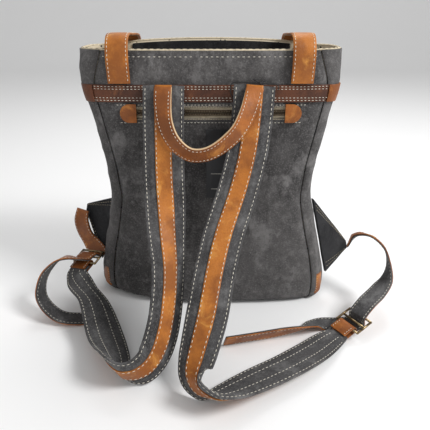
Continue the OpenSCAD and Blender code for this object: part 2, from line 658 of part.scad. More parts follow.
module left_webbing() {
    color(charcoal) ribbon(LEFT_WEBBING, webbing_w, -webbing_t / 2, webbing_t / 2, 3);
}

module right_webbing() {
    color(charcoal) ribbon(RIGHT_WEBBING, webbing_w, -webbing_t / 2, webbing_t / 2, 3);
}

// A folded canvas wing between its two points on the side seam and its tip
module wing(top, low, tip, t) {
    n = unit(cross(low - top, tip - top));
    blunt = 6 * unit(low - top);
    rim_points = [top, low, tip + blunt, tip - blunt];
    skin([for (side = [-1, 1]) [for (p = rim_points) p + side * n * t / 2]]);
}

module right_wing() color(black_canvas) wing([135, -40, 152], [164, -34, 36], [199, -2, 64], 5);
module left_wing() color(black_canvas) wing([-137, -6, 140], [-165, 2, 38], [-184, 18, 115], 5);

// ---- tag ----
module hang_tag() {
    color(black) translate([TAG_HOLE[0], TAG_HOLE[1] + tag_t / 2, TAG_HOLE[2]]) rotate([90, 0, 0])
        linear_extrude(tag_t) difference() {
            translate([0, 5 - tag_h / 2]) offset(r = 3) square([tag_w - 6, tag_h - 6], center = true);
            circle(r = 2.8);
        }
}

module tag_string() {
    color(black) tube(TAG_STRING, string_r);
}

back_panel();
front_panel();
left_gusset();
right_gusset();
base_panel();
back_collar();
front_collar();
rim_binding();
band_back();
band_front();
corner_patches();
lining();
base_board();
inner_pocket();
back_pocket_bag();
back_zip_tapes();
back_zip_chain();
back_zip_patches();
back_zip_slider();
back_zip_pull();
mouth_facings();
mouth_zip_tapes();
mouth_zip_chain();
mouth_zip_slider();
mouth_zip_pull();
front_pocket();
front_pocket_trim();
closure_tabs();
snap_sockets();
left_closure_strap();
right_closure_strap();
left_closure_buckle();
right_closure_buckle();
left_snap_stud();
right_snap_stud();
handle();
left_strap_top();
right_strap_top();
left_strip_top();
right_strip_top();
left_strap();
right_strap();
left_strip();
right_strip();
left_strap_pad();
right_strap_pad();
left_end_tab();
right_end_tab();
left_adjuster();
right_adjuster();
left_webbing();
right_webbing();
left_wing();
right_wing();
hang_tag();
tag_string();
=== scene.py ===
# %% [markdown]
# # A canvas and leather travel backpack
# This notebook dresses a finished CAD frame of a backpack. Every cloth wall, strap,
# seam and fitting is modelled in real size, in metres, in the frame of the CAD parts:
# +Z up, the shoulder straps towards -Y, the origin in the middle of the base.

import math

import bmesh
import bpy
from mathutils import Matrix, Vector, noise


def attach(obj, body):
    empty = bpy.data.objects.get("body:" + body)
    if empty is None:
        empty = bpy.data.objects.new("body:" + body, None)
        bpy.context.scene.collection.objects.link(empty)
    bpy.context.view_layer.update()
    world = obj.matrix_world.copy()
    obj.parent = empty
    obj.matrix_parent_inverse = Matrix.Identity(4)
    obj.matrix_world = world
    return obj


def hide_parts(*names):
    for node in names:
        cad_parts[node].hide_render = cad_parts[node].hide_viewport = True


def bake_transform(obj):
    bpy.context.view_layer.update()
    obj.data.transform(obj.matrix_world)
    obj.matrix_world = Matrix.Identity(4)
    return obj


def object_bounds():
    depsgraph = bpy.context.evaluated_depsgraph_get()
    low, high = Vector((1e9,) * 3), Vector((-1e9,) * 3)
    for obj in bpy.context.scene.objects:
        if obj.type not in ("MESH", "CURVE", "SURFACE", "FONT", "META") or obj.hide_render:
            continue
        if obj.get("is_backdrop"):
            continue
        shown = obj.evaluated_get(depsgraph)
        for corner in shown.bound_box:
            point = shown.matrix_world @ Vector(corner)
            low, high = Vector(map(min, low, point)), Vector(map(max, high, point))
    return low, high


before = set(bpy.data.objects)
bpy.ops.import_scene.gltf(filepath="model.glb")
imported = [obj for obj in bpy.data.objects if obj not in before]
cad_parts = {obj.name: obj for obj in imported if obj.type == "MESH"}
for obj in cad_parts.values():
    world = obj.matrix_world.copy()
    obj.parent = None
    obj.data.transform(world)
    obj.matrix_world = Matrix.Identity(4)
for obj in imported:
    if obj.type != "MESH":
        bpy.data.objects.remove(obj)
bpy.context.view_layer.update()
mm = 0.001

# %% [markdown]
# ## Camera
# The camera stands a little above the rim and looks down at the strap side of the bag.

# %% Camera
camera_data = bpy.data.cameras.new("camera")
camera_data.lens = 39.3
camera_data.sensor_width = 36
camera = bpy.data.objects.new("camera", camera_data)
bpy.context.scene.collection.objects.link(camera)
camera.location = (0.005, -0.622, 0.388)
camera.rotation_euler = (math.radians(90 - 24.1), 0, 0)
bpy.context.scene.camera = camera
print("camera at", tuple(camera.location))

# %% [markdown]
# ## Shape tables
# The bag's outline is a rounded rectangle that changes with height. The straps are rows of
# a centre point, the direction across the strap and a width factor. All are in millimetres.

# %% Outline and strap rows
OUTLINE = [[0, 150, -52, 48, 6], [6, 156, -58, 55, 6], [14, 159, -60, 58, 6],
           [40, 158, -60, 61, 6], [75, 151, -60, 62, 6], [110, 141, -60, 61, 6],
           [158, 130, -60, 58, 6], [200, 132, -60, 55, 7], [237, 138, -60, 51, 8],
           [270, 145, -60, 47, 8], [300, 153, -60, 43, 7], [322, 155, -60, 41, 4.5],
           [341, 157, -60, 40, 3.2], [360, 157, -60, 40, 3.2]]
BELLY = [[0, 0], [10, 7], [60, 10], [150, 6], [210, 1], [235, 0], [360, 0]]
LAG = [[0, 34], [60, 26], [110, 10], [150, 0], [360, 0]]
LEFT_STRAP = [
    [-54.5, -66, 303, 1, 0, 0, 1], [-55, -79, 268, 1, 0, 0, 1], [-55, -90, 231, 1, 0, 0, 1],
    [-55, -97, 201, 1, 0.05, -0.04, 1], [-54, -106, 178, 0.98, 0.15, -0.1, 1],
    [-52, -126, 140, 0.86, 0.4, -0.25, 1], [-49, -150, 105, 0.72, 0.55, -0.4, 1],
    [-51, -180, 68, 0.66, 0.45, -0.6, 1], [-57, -201, 44, 0.62, 0.38, -0.69, 1],
    [-66, -217, 31, 0.5, 0.35, -0.8, 1], [-79, -228, 27, 0.3, 0.34, -0.87, 1],
    [-94, -229, 26, 0.1, 0.4, -0.85, 1], [-105, -217, 25, 0.35, 0.45, -0.8, 1],
    [-113, -195, 22, 0.7, 0.4, -0.6, 1], [-130, -155, 18, 0.85, 0.38, -0.36, 1],
    [-152, -108, 31, 0.8, 0.39, -0.48, 0.94], [-172, -86, 41, 0.85, 0.1, -0.35, 0.78],
    [-184.5, -68, 49.5, 0.9, -0.3, 0.05, 0.6], [-184.5, -58.3, 53, 0.9, -0.38, 0.1, 0.56],
    [-181.3, -50.2, 55.3, 0.9, -0.38, 0.1, 0.56]]
RIGHT_STRAP = [
    [51, -66, 303, 1, 0, 0, 1], [48, -79, 268, 1, 0, 0, 1], [43, -90, 231, 1, 0, 0, 1],
    [36, -97, 201, 1, -0.02, 0, 1], [29, -106, 178, 1, -0.03, 0, 1],
    [15, -130, 143, 1, -0.05, 0, 1], [5, -157, 110, 1, -0.05, 0.05, 1],
    [-3, -190, 78, 1, -0.1, 0.1, 1], [-10, -212, 56, 0.92, -0.25, 0.28, 1],
    [-15, -226, 41, 0.85, -0.35, 0.4, 1], [-17, -236, 32, 0.7, -0.5, 0.5, 1],
    [-13, -247, 26, 0.4, -0.55, 0.74, 1], [-4, -255, 24, 0.1, -0.6, 0.78, 1],
    [8, -257, 21, 0.2, -0.75, 0.6, 1], [22, -247, 17, 0.45, -0.8, 0.4, 1],
    [54, -224, 13, 0.52, -0.82, 0.26, 1], [90, -201, 12, 0.52, -0.82, 0.24, 1],
    [122, -175, 9, 0.53, -0.82, 0.15, 0.9], [146, -152, 6.5, 0.53, -0.84, 0.05, 0.74],
    [158, -142, 6, 0.52, -0.85, 0, 0.6], [162, -138.5, 7, 0.52, -0.85, 0, 0.56]]
HANDLE = [
    [-54.5, -74.2, 302.5, 1, 0, 0, 1], [-55, -82.8, 285, 0.97, -0.18, 0.1, 1],
    [-52, -91.5, 264, 0.85, -0.35, 0.4, 1], [-43, -99, 246, 0.6, -0.4, 0.7, 1],
    [-28, -102, 233, 0.25, -0.45, 0.86, 1], [-14, -102.5, 230, 0, -0.47, 0.88, 1],
    [2, -102, 234, -0.25, -0.45, 0.86, 1], [19, -99, 245, -0.5, -0.42, 0.76, 1],
    [33, -95, 259, -0.7, -0.35, 0.6, 1], [44, -86, 280, -0.92, -0.25, 0.3, 1],
    [51, -74.2, 302.5, -1, 0, 0, 1]]
CLOSURE = [
    [0, -63.4, 305, 1, 0, 0, 1], [0, -65.5, 316, 1, 0, 0, 1], [0, -67, 330, 1, 0, 0, 1],
    [0, -64, 345, 1, 0, 0, 1], [0, -55, 355, 1, 0, 0, 1], [0, -40, 357.5, 1, 0, 0, 1],
    [0, -15, 356, 1, 0, 0, 1], [0, 15, 354.5, 1, 0, 0, 1], [0, 34, 351.5, 1, 0, 0, 1],
    [0, 45, 343, 1, 0, 0, 1], [0, 49.5, 330, 1, 0, 0, 1], [0, 52.5, 305, 1, 0, 0, 1],
    [0, 55.5, 275, 1, 0, 0, 1], [0, 57, 250, 1, 0, 0, 1], [0, 58.5, 232, 1, 0, 0, 0.96],
    [0, 59.5, 222, 1, 0, 0, 0.6]]
TAG_STRING = [
    [79, -64, 298], [78.5, -66, 302.5], [74, -67, 304.8], [62, -67, 305.5], [50, -67, 306.2],
    [38, -67, 306.9], [28, -67, 307], [23.4, -67, 304], [23, -67.2, 296],
    [26, -67.2, 289], [28, -69, 284], [29, -71.6, 279], [29, -73.3, 273], [28, -73.2, 264],
    [24, -70.5, 256], [20, -68.6, 251], [17.3, -67.4, 247.8], [17, -66.6, 247.2]]
SEAM_Z, RIM_Z, BACK_Y, ZIP_Z = 293, 341, -60, 270
TAPE_Y = BACK_Y + 2.6
# A slide's middle, the direction along its bars and the direction along the strap
LEFT_SLIDE = [[-175, -34, 60], [0.9, -0.38, 0.1], [0.35, 0.9, 0.26]]
RIGHT_SLIDE = [[184, -124, 16], [0.52, -0.854, 0], [0.81, 0.493, 0.32]]


def slide_frame(middle, u, v):
    """The slide's own frame: x along its bars, y along the strap, z through it."""
    u = Vector(u).normalized()
    v = Vector(v)
    v = (v - v.dot(u) * u).normalized()
    m = Matrix((u, v, u.cross(v))).transposed().to_4x4()
    m.translation = Vector(middle)
    return m


def slide_rows(slide, spots):
    """Rows of webbing at (along the strap, through the slide) spots of a slide."""
    m = slide_frame(*slide)
    return [[*(m @ Vector((0, y, z))), *m.col[0].xyz, 1] for y, z in spots]


LEFT_WEBBING = (
    [[-189, 13, 113, 0.75, -0.3, 0.4, 1], [-192, 8, 99, 0.8, -0.3, 0.4, 1],
    [-189, 5, 82, 0.85, -0.35, 0.3, 1], [-180, 0, 67, 0.9, -0.38, 0.1, 1]]
    + slide_rows(LEFT_SLIDE, [[20, -8.5], [12, -6.2], [7.6, -3], [6, 0], [4.4, 2.9], [0, 4.6],
                              [-6, 6], [-13, 7.6]])
    + [[-190, -54, 69, 0.7, -0.7, 0.2, 1],
    [-201, -57, 71, 0.35, -0.85, 0.35, 1], [-214, -61, 66, 0.2, -0.85, 0.5, 1],
    [-226, -71, 54, 0, -0.85, 0.55, 1], [-230, -81, 41, -0.1, -0.87, 0.5, 1],
    [-227, -92, 28, -0.2, -0.9, 0.35, 1], [-214, -101, 15, -0.2, -0.95, 0.2, 1],
    [-196, -105, 6, -0.05, -1, 0.05, 1], [-167, -101, 2.2, 0.15, -0.98, 0, 1],
    [-137, -90, 2.2, 0.35, -0.93, 0, 1]])
RIGHT_WEBBING = (
    [[204, -3, 69, -0.1, -0.87, 0.2, 1], [212, -16, 85, -0.25, -0.86, 0.4, 1],
    [225, -36, 92, -0.3, -0.84, 0.4, 1], [238, -52, 83, -0.3, -0.84, 0.35, 1],
    [242, -63, 66, -0.2, -0.88, 0.3, 1], [236, -78, 50, 0.05, -0.93, 0.1, 1],
    [221, -94, 40, 0.35, -0.88, 0, 1], [203, -110, 34, 0.5, -0.85, 0, 1]]
    + slide_rows(RIGHT_SLIDE, [[10, 6], [7.2, 3], [6, 0], [4.6, -4.4]])
    + [[181, -119, 6.6, 0.5, -0.86, 0.06, 1],
    [169, -115, 2.8, 0.35, -0.93, 0, 1], [150, -113, 2.2, 0.25, -0.93, 0, 1],
    [137, -117, 3.5, 0.2, -0.85, 0.2, 1],
    [122, -131, 10, 0.15, -0.65, 0.6, 1], [90, -142, 12, 0.15, -0.5, 0.8, 1],
    [55, -151, 12, 0.15, -0.5, 0.82, 1], [17, -160, 12, 0.15, -0.5, 0.82, 1]])
print(len(LEFT_STRAP), "rows in the left strap,", len(RIGHT_STRAP), "in the right one")

# %% [markdown]
# ## Shape helpers
# `wall` gives a point of the bag's side: s runs round the bag (0 to 1 back, 1 to 2 right,
# 2 to 3 front, 3 to 4 left) and z is the height.


# %% Points on the bag's wall
def lookup(z, table, k):
    if z <= table[0][0]:
        return table[0][k]
    for a, b in zip(table, table[1:]):
        if z <= b[0]:
            return a[k] + (b[k] - a[k]) * (z - a[0]) / (b[0] - a[0])
    return table[-1][k]


def soft(z, table, k):
    return sum(lookup(z + dz, table, k) for dz in range(-9, 10, 3)) / 7


def soft_end(z, table, k):
    return lookup(z, table, k) if z < 12 else soft(z, table, k)


def aim(s):
    if s < 1:
        return 2 * s - 1, -1
    if s < 2:
        return 1, 2 * s - 3
    return (5 - 2 * s, 1) if s < 3 else (-1, 7 - 2 * s)


def wall(s, z, off=0.0, swell_part=1.0):
    s = s % 4
    mx, my = aim(s)
    n = soft_end(z, OUTLINE, 4)
    k = (abs(mx) ** n + abs(my) ** n) ** (-1 / n)
    w = soft_end(z, OUTLINE, 1) + off
    near = soft_end(z, OUTLINE, 2) - off
    far = soft_end(z, OUTLINE, 3) + off
    x = k * mx
    side = min(1, max(0, -k * my))
    swell = soft_end(z, BELLY, 1) * (1 - x * x) * side * swell_part
    rest = soft_end(z, LAG, 1) * max(0, -x) ** 3 * side
    top = z
    if z > SEAM_Z and 2 < s < 3:
        top += (z - SEAM_Z) / (RIM_Z - SEAM_Z) * 7 * (1 - (2 * s - 5) ** 2)
    return Vector((w * x, (near + far) / 2 + k * my * (far - near) / 2 - swell + rest, top))


def wall_normal(s, z):
    across = wall(s + 0.01, z) - wall(s - 0.01, z)
    up = wall(s, min(z + 2, RIM_Z)) - wall(s, z - 2)
    return across.cross(up).normalized()


print("middle of the back at half height", tuple(round(v, 1) for v in wall(0.5, 150)))


# %% Lines through rows
def spline(a, b, c, d, t):
    return [0.5 * (2 * q + (r - p) * t + (2 * p - 5 * q + 4 * r - e) * t * t
                   + (3 * q - p - 3 * r + e) * t ** 3) for p, q, r, e in zip(a, b, c, d)]


def through(rows, per):
    e = len(rows) - 1
    line = [spline(rows[max(i - 1, 0)], rows[i], rows[i + 1], rows[min(i + 2, e)], k / per)
            for i in range(e) for k in range(per)]
    return line + [rows[e]]


def frames(rows, per):
    """Centre, across and out vectors, width factor and length so far, at every step."""
    line = through(rows, per)
    made, far = [], 0.0
    for i, row in enumerate(line):
        p = Vector(row[:3])
        t = (Vector(line[min(i + 1, len(line) - 1)][:3]) - Vector(line[max(i - 1, 0)][:3])).normalized()
        d = Vector(row[3:6])
        d = (d - d.dot(t) * t).normalized()
        if i:
            far += (p - made[-1][0]).length
        made.append((p, d, t.cross(d), row[6], far))
    return made


def smoothstep(x):
    x = min(1, max(0, x))
    return x * x * (3 - 2 * x)


print("left strap's length", round(frames(LEFT_STRAP, 8)[-1][4]), "mm")


# %% [markdown]
# ## Mesh helpers
# Cloth starts as an operator's grid whose vertices are then put in place. A sweep is such a
# grid, closed round a profile. The "cloth" map keeps the real distances for the weave.

# %% Grids and sweeps
def add(name, bm, material, body=None, nodes=(), slot=None, flat=False):
    name = name.replace(" ", "_")
    bmesh.ops.recalc_face_normals(bm, faces=bm.faces)
    mesh = bpy.data.meshes.new(name)
    bm.to_mesh(mesh)
    bm.free()
    for v in mesh.vertices:
        v.co *= mm
    for p in mesh.polygons:
        p.use_smooth = not flat
    piece = bpy.data.objects.new(name, mesh)
    bpy.context.scene.collection.objects.link(piece)
    if material:
        mesh.materials.append(material)
    if body:
        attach(piece, body)
    if nodes:
        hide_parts(*nodes)
    return piece


def grid(us, vs, place, hole=None, weld=False, cap=False, thick=0.0):
    """A grid with a vertex at place(u, v) for each u and v, as a new bmesh in millimetres."""
    bm = bmesh.new()
    cloth = bm.loops.layers.uv.new("cloth")
    nu, nv = len(us) - 1, len(vs) - 1
    bmesh.ops.create_grid(bm, x_segments=nu, y_segments=nv, size=1)
    spot = {v: (round((v.co.x + 1) / 2 * nu), round((v.co.y + 1) / 2 * nv)) for v in bm.verts}
    for v, (i, j) in spot.items():
        v.co = place(us[i], vs[j])
    gone = []
    for f in bm.faces:
        ij = [spot[v] for v in f.verts]
        for loop, (i, j) in zip(f.loops, ij):
            loop[cloth].uv = (us[i] * mm, vs[j] * mm)
        middle = [sum(us[i] for i, j in ij) / 4, sum(vs[j] for i, j in ij) / 4]
        if hole and hole(*middle):
            gone.append(f)
    if gone:
        bmesh.ops.delete(bm, geom=gone, context="FACES")
    if weld:
        bmesh.ops.remove_doubles(bm, verts=bm.verts, dist=0.001)
    if cap:
        bmesh.ops.holes_fill(bm, edges=[e for e in bm.edges if e.is_boundary], sides=0)
    if thick:
        bmesh.ops.recalc_face_normals(bm, faces=bm.faces)
        bmesh.ops.solidify(bm, geom=bm.faces[:], thickness=thick)
    return bm


def steps(a, b, n):
    return [a + (b - a) * i / n for i in range(n + 1)]


def slab(w, t, edge=None, hem=0, n=10, corner=0.6):
    """A strap's profile as (across, out) points, thinner at its two hems when they are given."""
    edge = edge or t
    top = []
    for a in steps(-1, 1, n):
        x = a * w / 2
        b = edge / 2 + (t - edge) / 2 * smoothstep((w / 2 - abs(x) - hem) / 4)
        top.append((x, b))
    x0 = w / 2
    top[0], top[-1] = (-x0 + corner * 0.4, top[0][1]), (x0 - corner * 0.4, top[-1][1])
    side = [(x0, edge / 2 - corner), (x0, -edge / 2 + corner)]
    low = [(x, -b) for x, b in reversed(top)]
    return top + side + low + [(-x, b) for x, b in reversed(side)]


def sweep(rows, profile, per=8, bumps=None):
    """A closed sweep of a profile along rows; bumps(across, along) lifts the surface a little."""
    line = frames(rows, per)
    ring = profile + [profile[0]]

    def place(u, v):
        p, d, n, f, far = line[int(v)]
        a, b = ring[int(u)]
        lift = bumps(a, far) * (1 if b > 0 else -1) if bumps else 0
        return p + d * a * f + n * (b + lift)

    bm = grid(list(range(len(ring))), list(range(len(line))), place, weld=True, cap=True)
    return bm, line


def cloth_map(bm, line):
    """Fits the cloth map of a sweep to real distances: across the strap and along it."""
    layer = bm.loops.layers.uv.active
    for f in bm.faces:
        for loop in f.loops:
            v = loop[layer].uv[1] / mm
            i = min(max(int(round(v)), 0), len(line) - 1)
            p, d, n, w, far = line[i]
            loop[layer].uv = ((loop.vert.co - p).dot(d) * mm, far * mm)
    return bm


def beads(spots, length, width, height):
    """Small rounded stitches: each spot is a point, the direction along it and its normal."""
    bm = bmesh.new()
    for p, t, n in spots:
        t = t.normalized()
        b = n.cross(t).normalized()
        n = t.cross(b)
        turn = Matrix((t * length / 2, b * width / 2, n * height / 2)).transposed().to_4x4()
        bmesh.ops.create_icosphere(bm, subdivisions=1, radius=1, matrix=Matrix.Translation(p) @ turn)
    return bm


def along(points, normals, pitch):
    """Evenly spaced stitch spots along a line of points."""
    spots, need = [], pitch / 2
    for (a, b), n in zip(zip(points, points[1:]), normals):
        d = b - a
        size = d.length
        while need < size:
            spots.append((a + d * need / size, d, n))
            need += pitch
        need -= size
    return spots


def strap_stitches(line, across, out, first, last, pitch=5.5):
    """Stitches on a strap at a distance from its middle, between two of its steps."""
    part = line[first:last]
    points = [p + d * across * f + n * out for p, d, n, f, far in part]
    normals = [n * (1 if out > 0 else -1) for p, d, n, f, far in part]
    return along(points, normals, pitch)


def wall_stitches(s0, s1, z0, z1, off, pitch=5.0, count=80):
    ends = [(s0 + (s1 - s0) * i / count, z0 + (z1 - z0) * i / count) for i in range(count + 1)]
    normals = [wall_normal(s, z) for s, z in ends]
    points = [wall(s, z) + n * off for (s, z), n in zip(ends, normals)]
    return along(points, normals, pitch)


def box(bm, size, at, turn=None):
    turn = turn or Matrix.Identity(4)
    matrix = turn @ Matrix.Translation(Vector(at)) @ Matrix.Diagonal((*size, 1))
    made = bmesh.ops.create_cube(bm, size=1, matrix=matrix)
    return made["verts"]


def rod(bm, r, a, b, sides=20, r2=None):
    a, b = Vector(a), Vector(b)
    turn = (b - a).to_track_quat("Z", "Y").to_matrix().to_4x4()
    matrix = Matrix.Translation((a + b) / 2) @ turn
    made = bmesh.ops.create_cone(bm, cap_ends=True, segments=sides, radius1=r,
                                 radius2=r if r2 is None else r2, depth=(b - a).length, matrix=matrix)
    return made["verts"]


def soften(piece, width=0.4, segments=2, angle=40):
    """Rounds a piece's edges a little; the width is in millimetres."""
    bevel = piece.modifiers.new("edges", "BEVEL")
    bevel.width = width * mm
    bevel.segments = segments
    bevel.limit_method = "ANGLE"
    bevel.angle_limit = math.radians(angle)
    return piece


def thicken(piece, thick, offset=-1):
    """Gives a sheet its thickness in millimetres; offset -1 grows inwards, 0 both ways, 1 out."""
    shell = piece.modifiers.new("thickness", "SOLIDIFY")
    shell.thickness = thick * mm
    shell.offset = offset
    return piece


def shelled(piece, thick, offset=-1):
    return soften(thicken(piece, thick, offset), min(0.4, thick * 0.3))


print("mesh helpers ready")


# %% [markdown]
# ## Materials
# A small class writes the shader maths, so that a mask reads like a sum.

# %% Shader maths
class S:
    """One value in a material's node tree; operators on it add maths nodes."""

    def __init__(self, tree, socket):
        self.tree = tree
        self.socket = socket

    def math(self, op, *others):
        node = self.tree.nodes.new("ShaderNodeMath")
        node.operation = op
        for i, value in enumerate((self, *others)):
            if isinstance(value, S):
                self.tree.links.new(value.socket, node.inputs[i])
            else:
                node.inputs[i].default_value = value
        return S(self.tree, node.outputs[0])

    def __add__(self, other):
        return self.math("ADD", other)

    def __mul__(self, other):
        return self.math("MULTIPLY", other)

    def ramp(self, low, high, to_low=0.0, to_high=1.0):
        node = self.tree.nodes.new("ShaderNodeMapRange")
        node.interpolation_type = "SMOOTHSTEP"
        self.tree.links.new(self.socket, node.inputs[0])
        for i, value in enumerate((low, high, to_low, to_high)):
            node.inputs[i + 1].default_value = value
        return S(self.tree, node.outputs[0])


class Paint:
    """A material with one Principled shader and a few ways to vary it."""

    def __init__(self, name, color, rough, metal=0.0, coat=0.0, sheen=0.0, specular=0.5):
        self.material = bpy.data.materials.new(name)
        self.material.use_nodes = True
        self.material.diffuse_color = (*color, 1)
        self.tree = self.material.node_tree
        self.shader = self.tree.nodes["Principled BSDF"]
        for key, value in (("Base Color", (*color, 1)), ("Roughness", rough), ("Metallic", metal),
                           ("Coat Weight", coat), ("Coat Roughness", 0.35), ("Sheen Weight", sheen),
                           ("Sheen Roughness", 0.5), ("Specular IOR Level", specular)):
            self.shader.inputs[key].default_value = value
        place = self.tree.nodes.new("ShaderNodeTexCoord")
        self.place = place.outputs["Object"]
        cloth = self.tree.nodes.new("ShaderNodeUVMap")
        cloth.uv_map = "cloth"
        split = self.tree.nodes.new("ShaderNodeSeparateXYZ")
        self.tree.links.new(cloth.outputs[0], split.inputs[0])
        self.u, self.v = S(self.tree, split.outputs[0]), S(self.tree, split.outputs[1])
        self.heights = None
        self.color = None

    def noise(self, scale, detail=4.0, rough=0.6, stretch=None, distortion=0.0):
        node = self.tree.nodes.new("ShaderNodeTexNoise")
        source = self.place
        if stretch:
            spread = self.tree.nodes.new("ShaderNodeVectorMath")
            spread.operation = "MULTIPLY"
            self.tree.links.new(self.place, spread.inputs[0])
            spread.inputs[1].default_value = stretch
            source = spread.outputs[0]
        self.tree.links.new(source, node.inputs["Vector"])
        node.inputs["Scale"].default_value = scale
        node.inputs["Detail"].default_value = detail
        node.inputs["Roughness"].default_value = rough
        node.inputs["Distortion"].default_value = distortion
        return S(self.tree, node.outputs[0])

    def cells(self, scale):
        node = self.tree.nodes.new("ShaderNodeTexVoronoi")
        self.tree.links.new(self.place, node.inputs["Vector"])
        node.inputs["Scale"].default_value = scale
        return S(self.tree, node.outputs["Distance"])

    def tint(self, mask, color):
        """Mixes another colour in where the mask is 1."""
        node = self.tree.nodes.new("ShaderNodeMix")
        node.data_type = "RGBA"
        self.tree.links.new(mask.socket, node.inputs[0])
        if self.color is None:
            node.inputs[6].default_value = self.shader.inputs["Base Color"].default_value[:]
        else:
            self.tree.links.new(self.color, node.inputs[6])
        node.inputs[7].default_value = (*color, 1)
        self.color = node.outputs[2]
        self.tree.links.new(self.color, self.shader.inputs["Base Color"])
        return self

    def rough(self, value):
        self.tree.links.new(value.socket, self.shader.inputs["Roughness"])
        return self

    def raise_by(self, value, strength):
        height = value * strength
        self.heights = height if self.heights is None else self.heights + height
        return self

    def done(self, distance=0.001):
        if self.heights:
            bump = self.tree.nodes.new("ShaderNodeBump")
            bump.inputs["Strength"].default_value = 1.0
            bump.inputs["Distance"].default_value = distance
            self.tree.links.new(self.heights.socket, bump.inputs["Height"])
            self.tree.links.new(bump.outputs[0], self.shader.inputs["Normal"])
        return self.material


print("shader maths ready")

# %% [markdown]
# ## Cloth
# The charcoal canvas is washed: paler in broad patches, and worn where it is handled.


# %% Canvas, lining and tape
def canvas(name, dark, mid, pale, weave=1.0):
    p = Paint(name, mid, 0.9, sheen=0.08, specular=0.2)
    patches = p.noise(11, 6, 0.68, stretch=(1, 1, 0.6))
    p.tint(patches.ramp(0.38, 0.56, 1.0, 0.0) * 0.9, dark)
    p.tint(p.noise(26, 6, 0.7, stretch=(1, 1, 0.7)).ramp(0.50, 0.66) * 0.6, pale)
    p.tint(p.noise(75, 5, 0.75).ramp(0.5, 0.7) * 0.45, pale)
    p.tint(p.noise(160, 4, 0.8).ramp(0.52, 0.66) * 0.5, dark)
    p.tint(p.noise(520, 3, 0.8).ramp(0.5, 0.68) * 0.55, pale)
    threads = p.u.math("MULTIPLY", 9000.0).math("SINE") * p.v.math("MULTIPLY", 9000.0).math("SINE")
    p.raise_by(threads, 0.03 * weave)
    p.raise_by(p.noise(700, 2, 0.7), 0.35 * weave)
    p.raise_by(p.noise(90, 5, 0.6), 0.8)
    return p.done()


CANVAS = canvas("charcoal canvas", (0.036, 0.034, 0.034), (0.078, 0.074, 0.073), (0.200, 0.192, 0.190))
DARK_CANVAS = canvas("black canvas", (0.010, 0.010, 0.011), (0.020, 0.020, 0.022), (0.045, 0.045, 0.048))
STRAP_CANVAS = canvas("strap canvas", (0.030, 0.029, 0.030), (0.062, 0.060, 0.061),
                      (0.170, 0.167, 0.166))


def lining_cloth():
    p = Paint("printed lining", (0.66, 0.58, 0.44), 0.9, specular=0.2)
    p.tint(p.noise(30, 5).ramp(0.4, 0.7) * 0.35, (0.48, 0.40, 0.28))
    p.tint(p.cells(190).ramp(0.20, 0.30, 1.0, 0.0) * p.noise(60, 2).ramp(0.46, 0.52), (0.03, 0.03, 0.03))
    p.raise_by(p.noise(500, 2), 0.3)
    return p.done()


LINING = lining_cloth()
TAPE = Paint("cream tape", (0.60, 0.52, 0.38), 0.9, specular=0.2)
TAPE.tint(TAPE.noise(240, 4).ramp(0.45, 0.7) * 0.6, (0.34, 0.27, 0.18)).raise_by(TAPE.noise(900, 2), 0.4)
TAPE = TAPE.done()
print("cloth:", CANVAS.name, DARK_CANVAS.name, STRAP_CANVAS.name, LINING.name, TAPE.name)

# %% [markdown]
# ## Leather, thread and metal
# Waxed leather is orange where it was pulled and dark where it was handled; the band's darker back copy of
# the tan leather is painted shade.


# %% Leather, thread, metal and card
def hide(name, dark, mid, pale, rough=0.48):
    p = Paint(name, mid, rough, coat=0.05, specular=0.32)
    p.tint(p.noise(22, 6, 0.6).ramp(0.40, 0.60, 1.0, 0.0) * 0.85, dark)
    p.tint(p.noise(46, 6, 0.65, distortion=0.6).ramp(0.52, 0.72) * 0.8, pale)
    p.tint(p.noise(600, 3, 0.8).ramp(0.52, 0.66) * 0.35, dark)
    p.rough(p.noise(60, 4).ramp(0.3, 0.7, rough - 0.12, rough + 0.14))
    p.raise_by(p.cells(900).ramp(0.0, 0.5), 0.12)
    p.raise_by(p.noise(260, 5, 0.7), 0.5)
    p.raise_by(p.noise(60, 4), 0.9)
    return p.done()


# A darker copy of the tan leather, painted shade: it stands for the band's back and left back pieces lying
# in shadow under the straps and handle and on the bag's shaded left side.
TAN_IN_SHADE = hide("band leather", (0.045, 0.016, 0.009), (0.105, 0.033, 0.013), (0.20, 0.070, 0.024))
TAN = hide("tan leather", (0.17, 0.050, 0.011), (0.36, 0.112, 0.018), (0.54, 0.215, 0.042))
ORANGE = hide("orange leather", (0.24, 0.072, 0.012), (0.46, 0.155, 0.022), (0.64, 0.285, 0.058))
EDGE = Paint("cut leather edge", (0.62, 0.44, 0.26), 0.75).done()
THREAD = Paint("pale thread", (0.74, 0.70, 0.60), 0.7).done()
BLACK_THREAD = Paint("black thread", (0.02, 0.02, 0.02), 0.7).done()
TEETH = Paint("dark zip teeth", (0.085, 0.06, 0.04), 0.38, metal=1.0).done()
BRASS = Paint("antique brass", (0.30, 0.22, 0.12), 0.34, metal=1.0)
BRASS.tint(BRASS.noise(200, 4).ramp(0.45, 0.65) * 0.8, (0.06, 0.045, 0.03))
BRASS.raise_by(BRASS.noise(500, 3), 0.15)
BRASS = BRASS.done()
CARD = Paint("black card", (0.012, 0.012, 0.014), 0.55).done()
CARD_PRINT = Paint("pale print", (0.42, 0.40, 0.36), 0.7).done()
STRING = Paint("black cord", (0.010, 0.010, 0.011), 0.65).done()
FOAM = Paint("foam", (0.02, 0.02, 0.02), 0.9).done()
print(len(bpy.data.materials), "materials")

# %% [markdown]
# ## The walls
# Wide soft creases run over the canvas and fade out where it is sewn to something else.


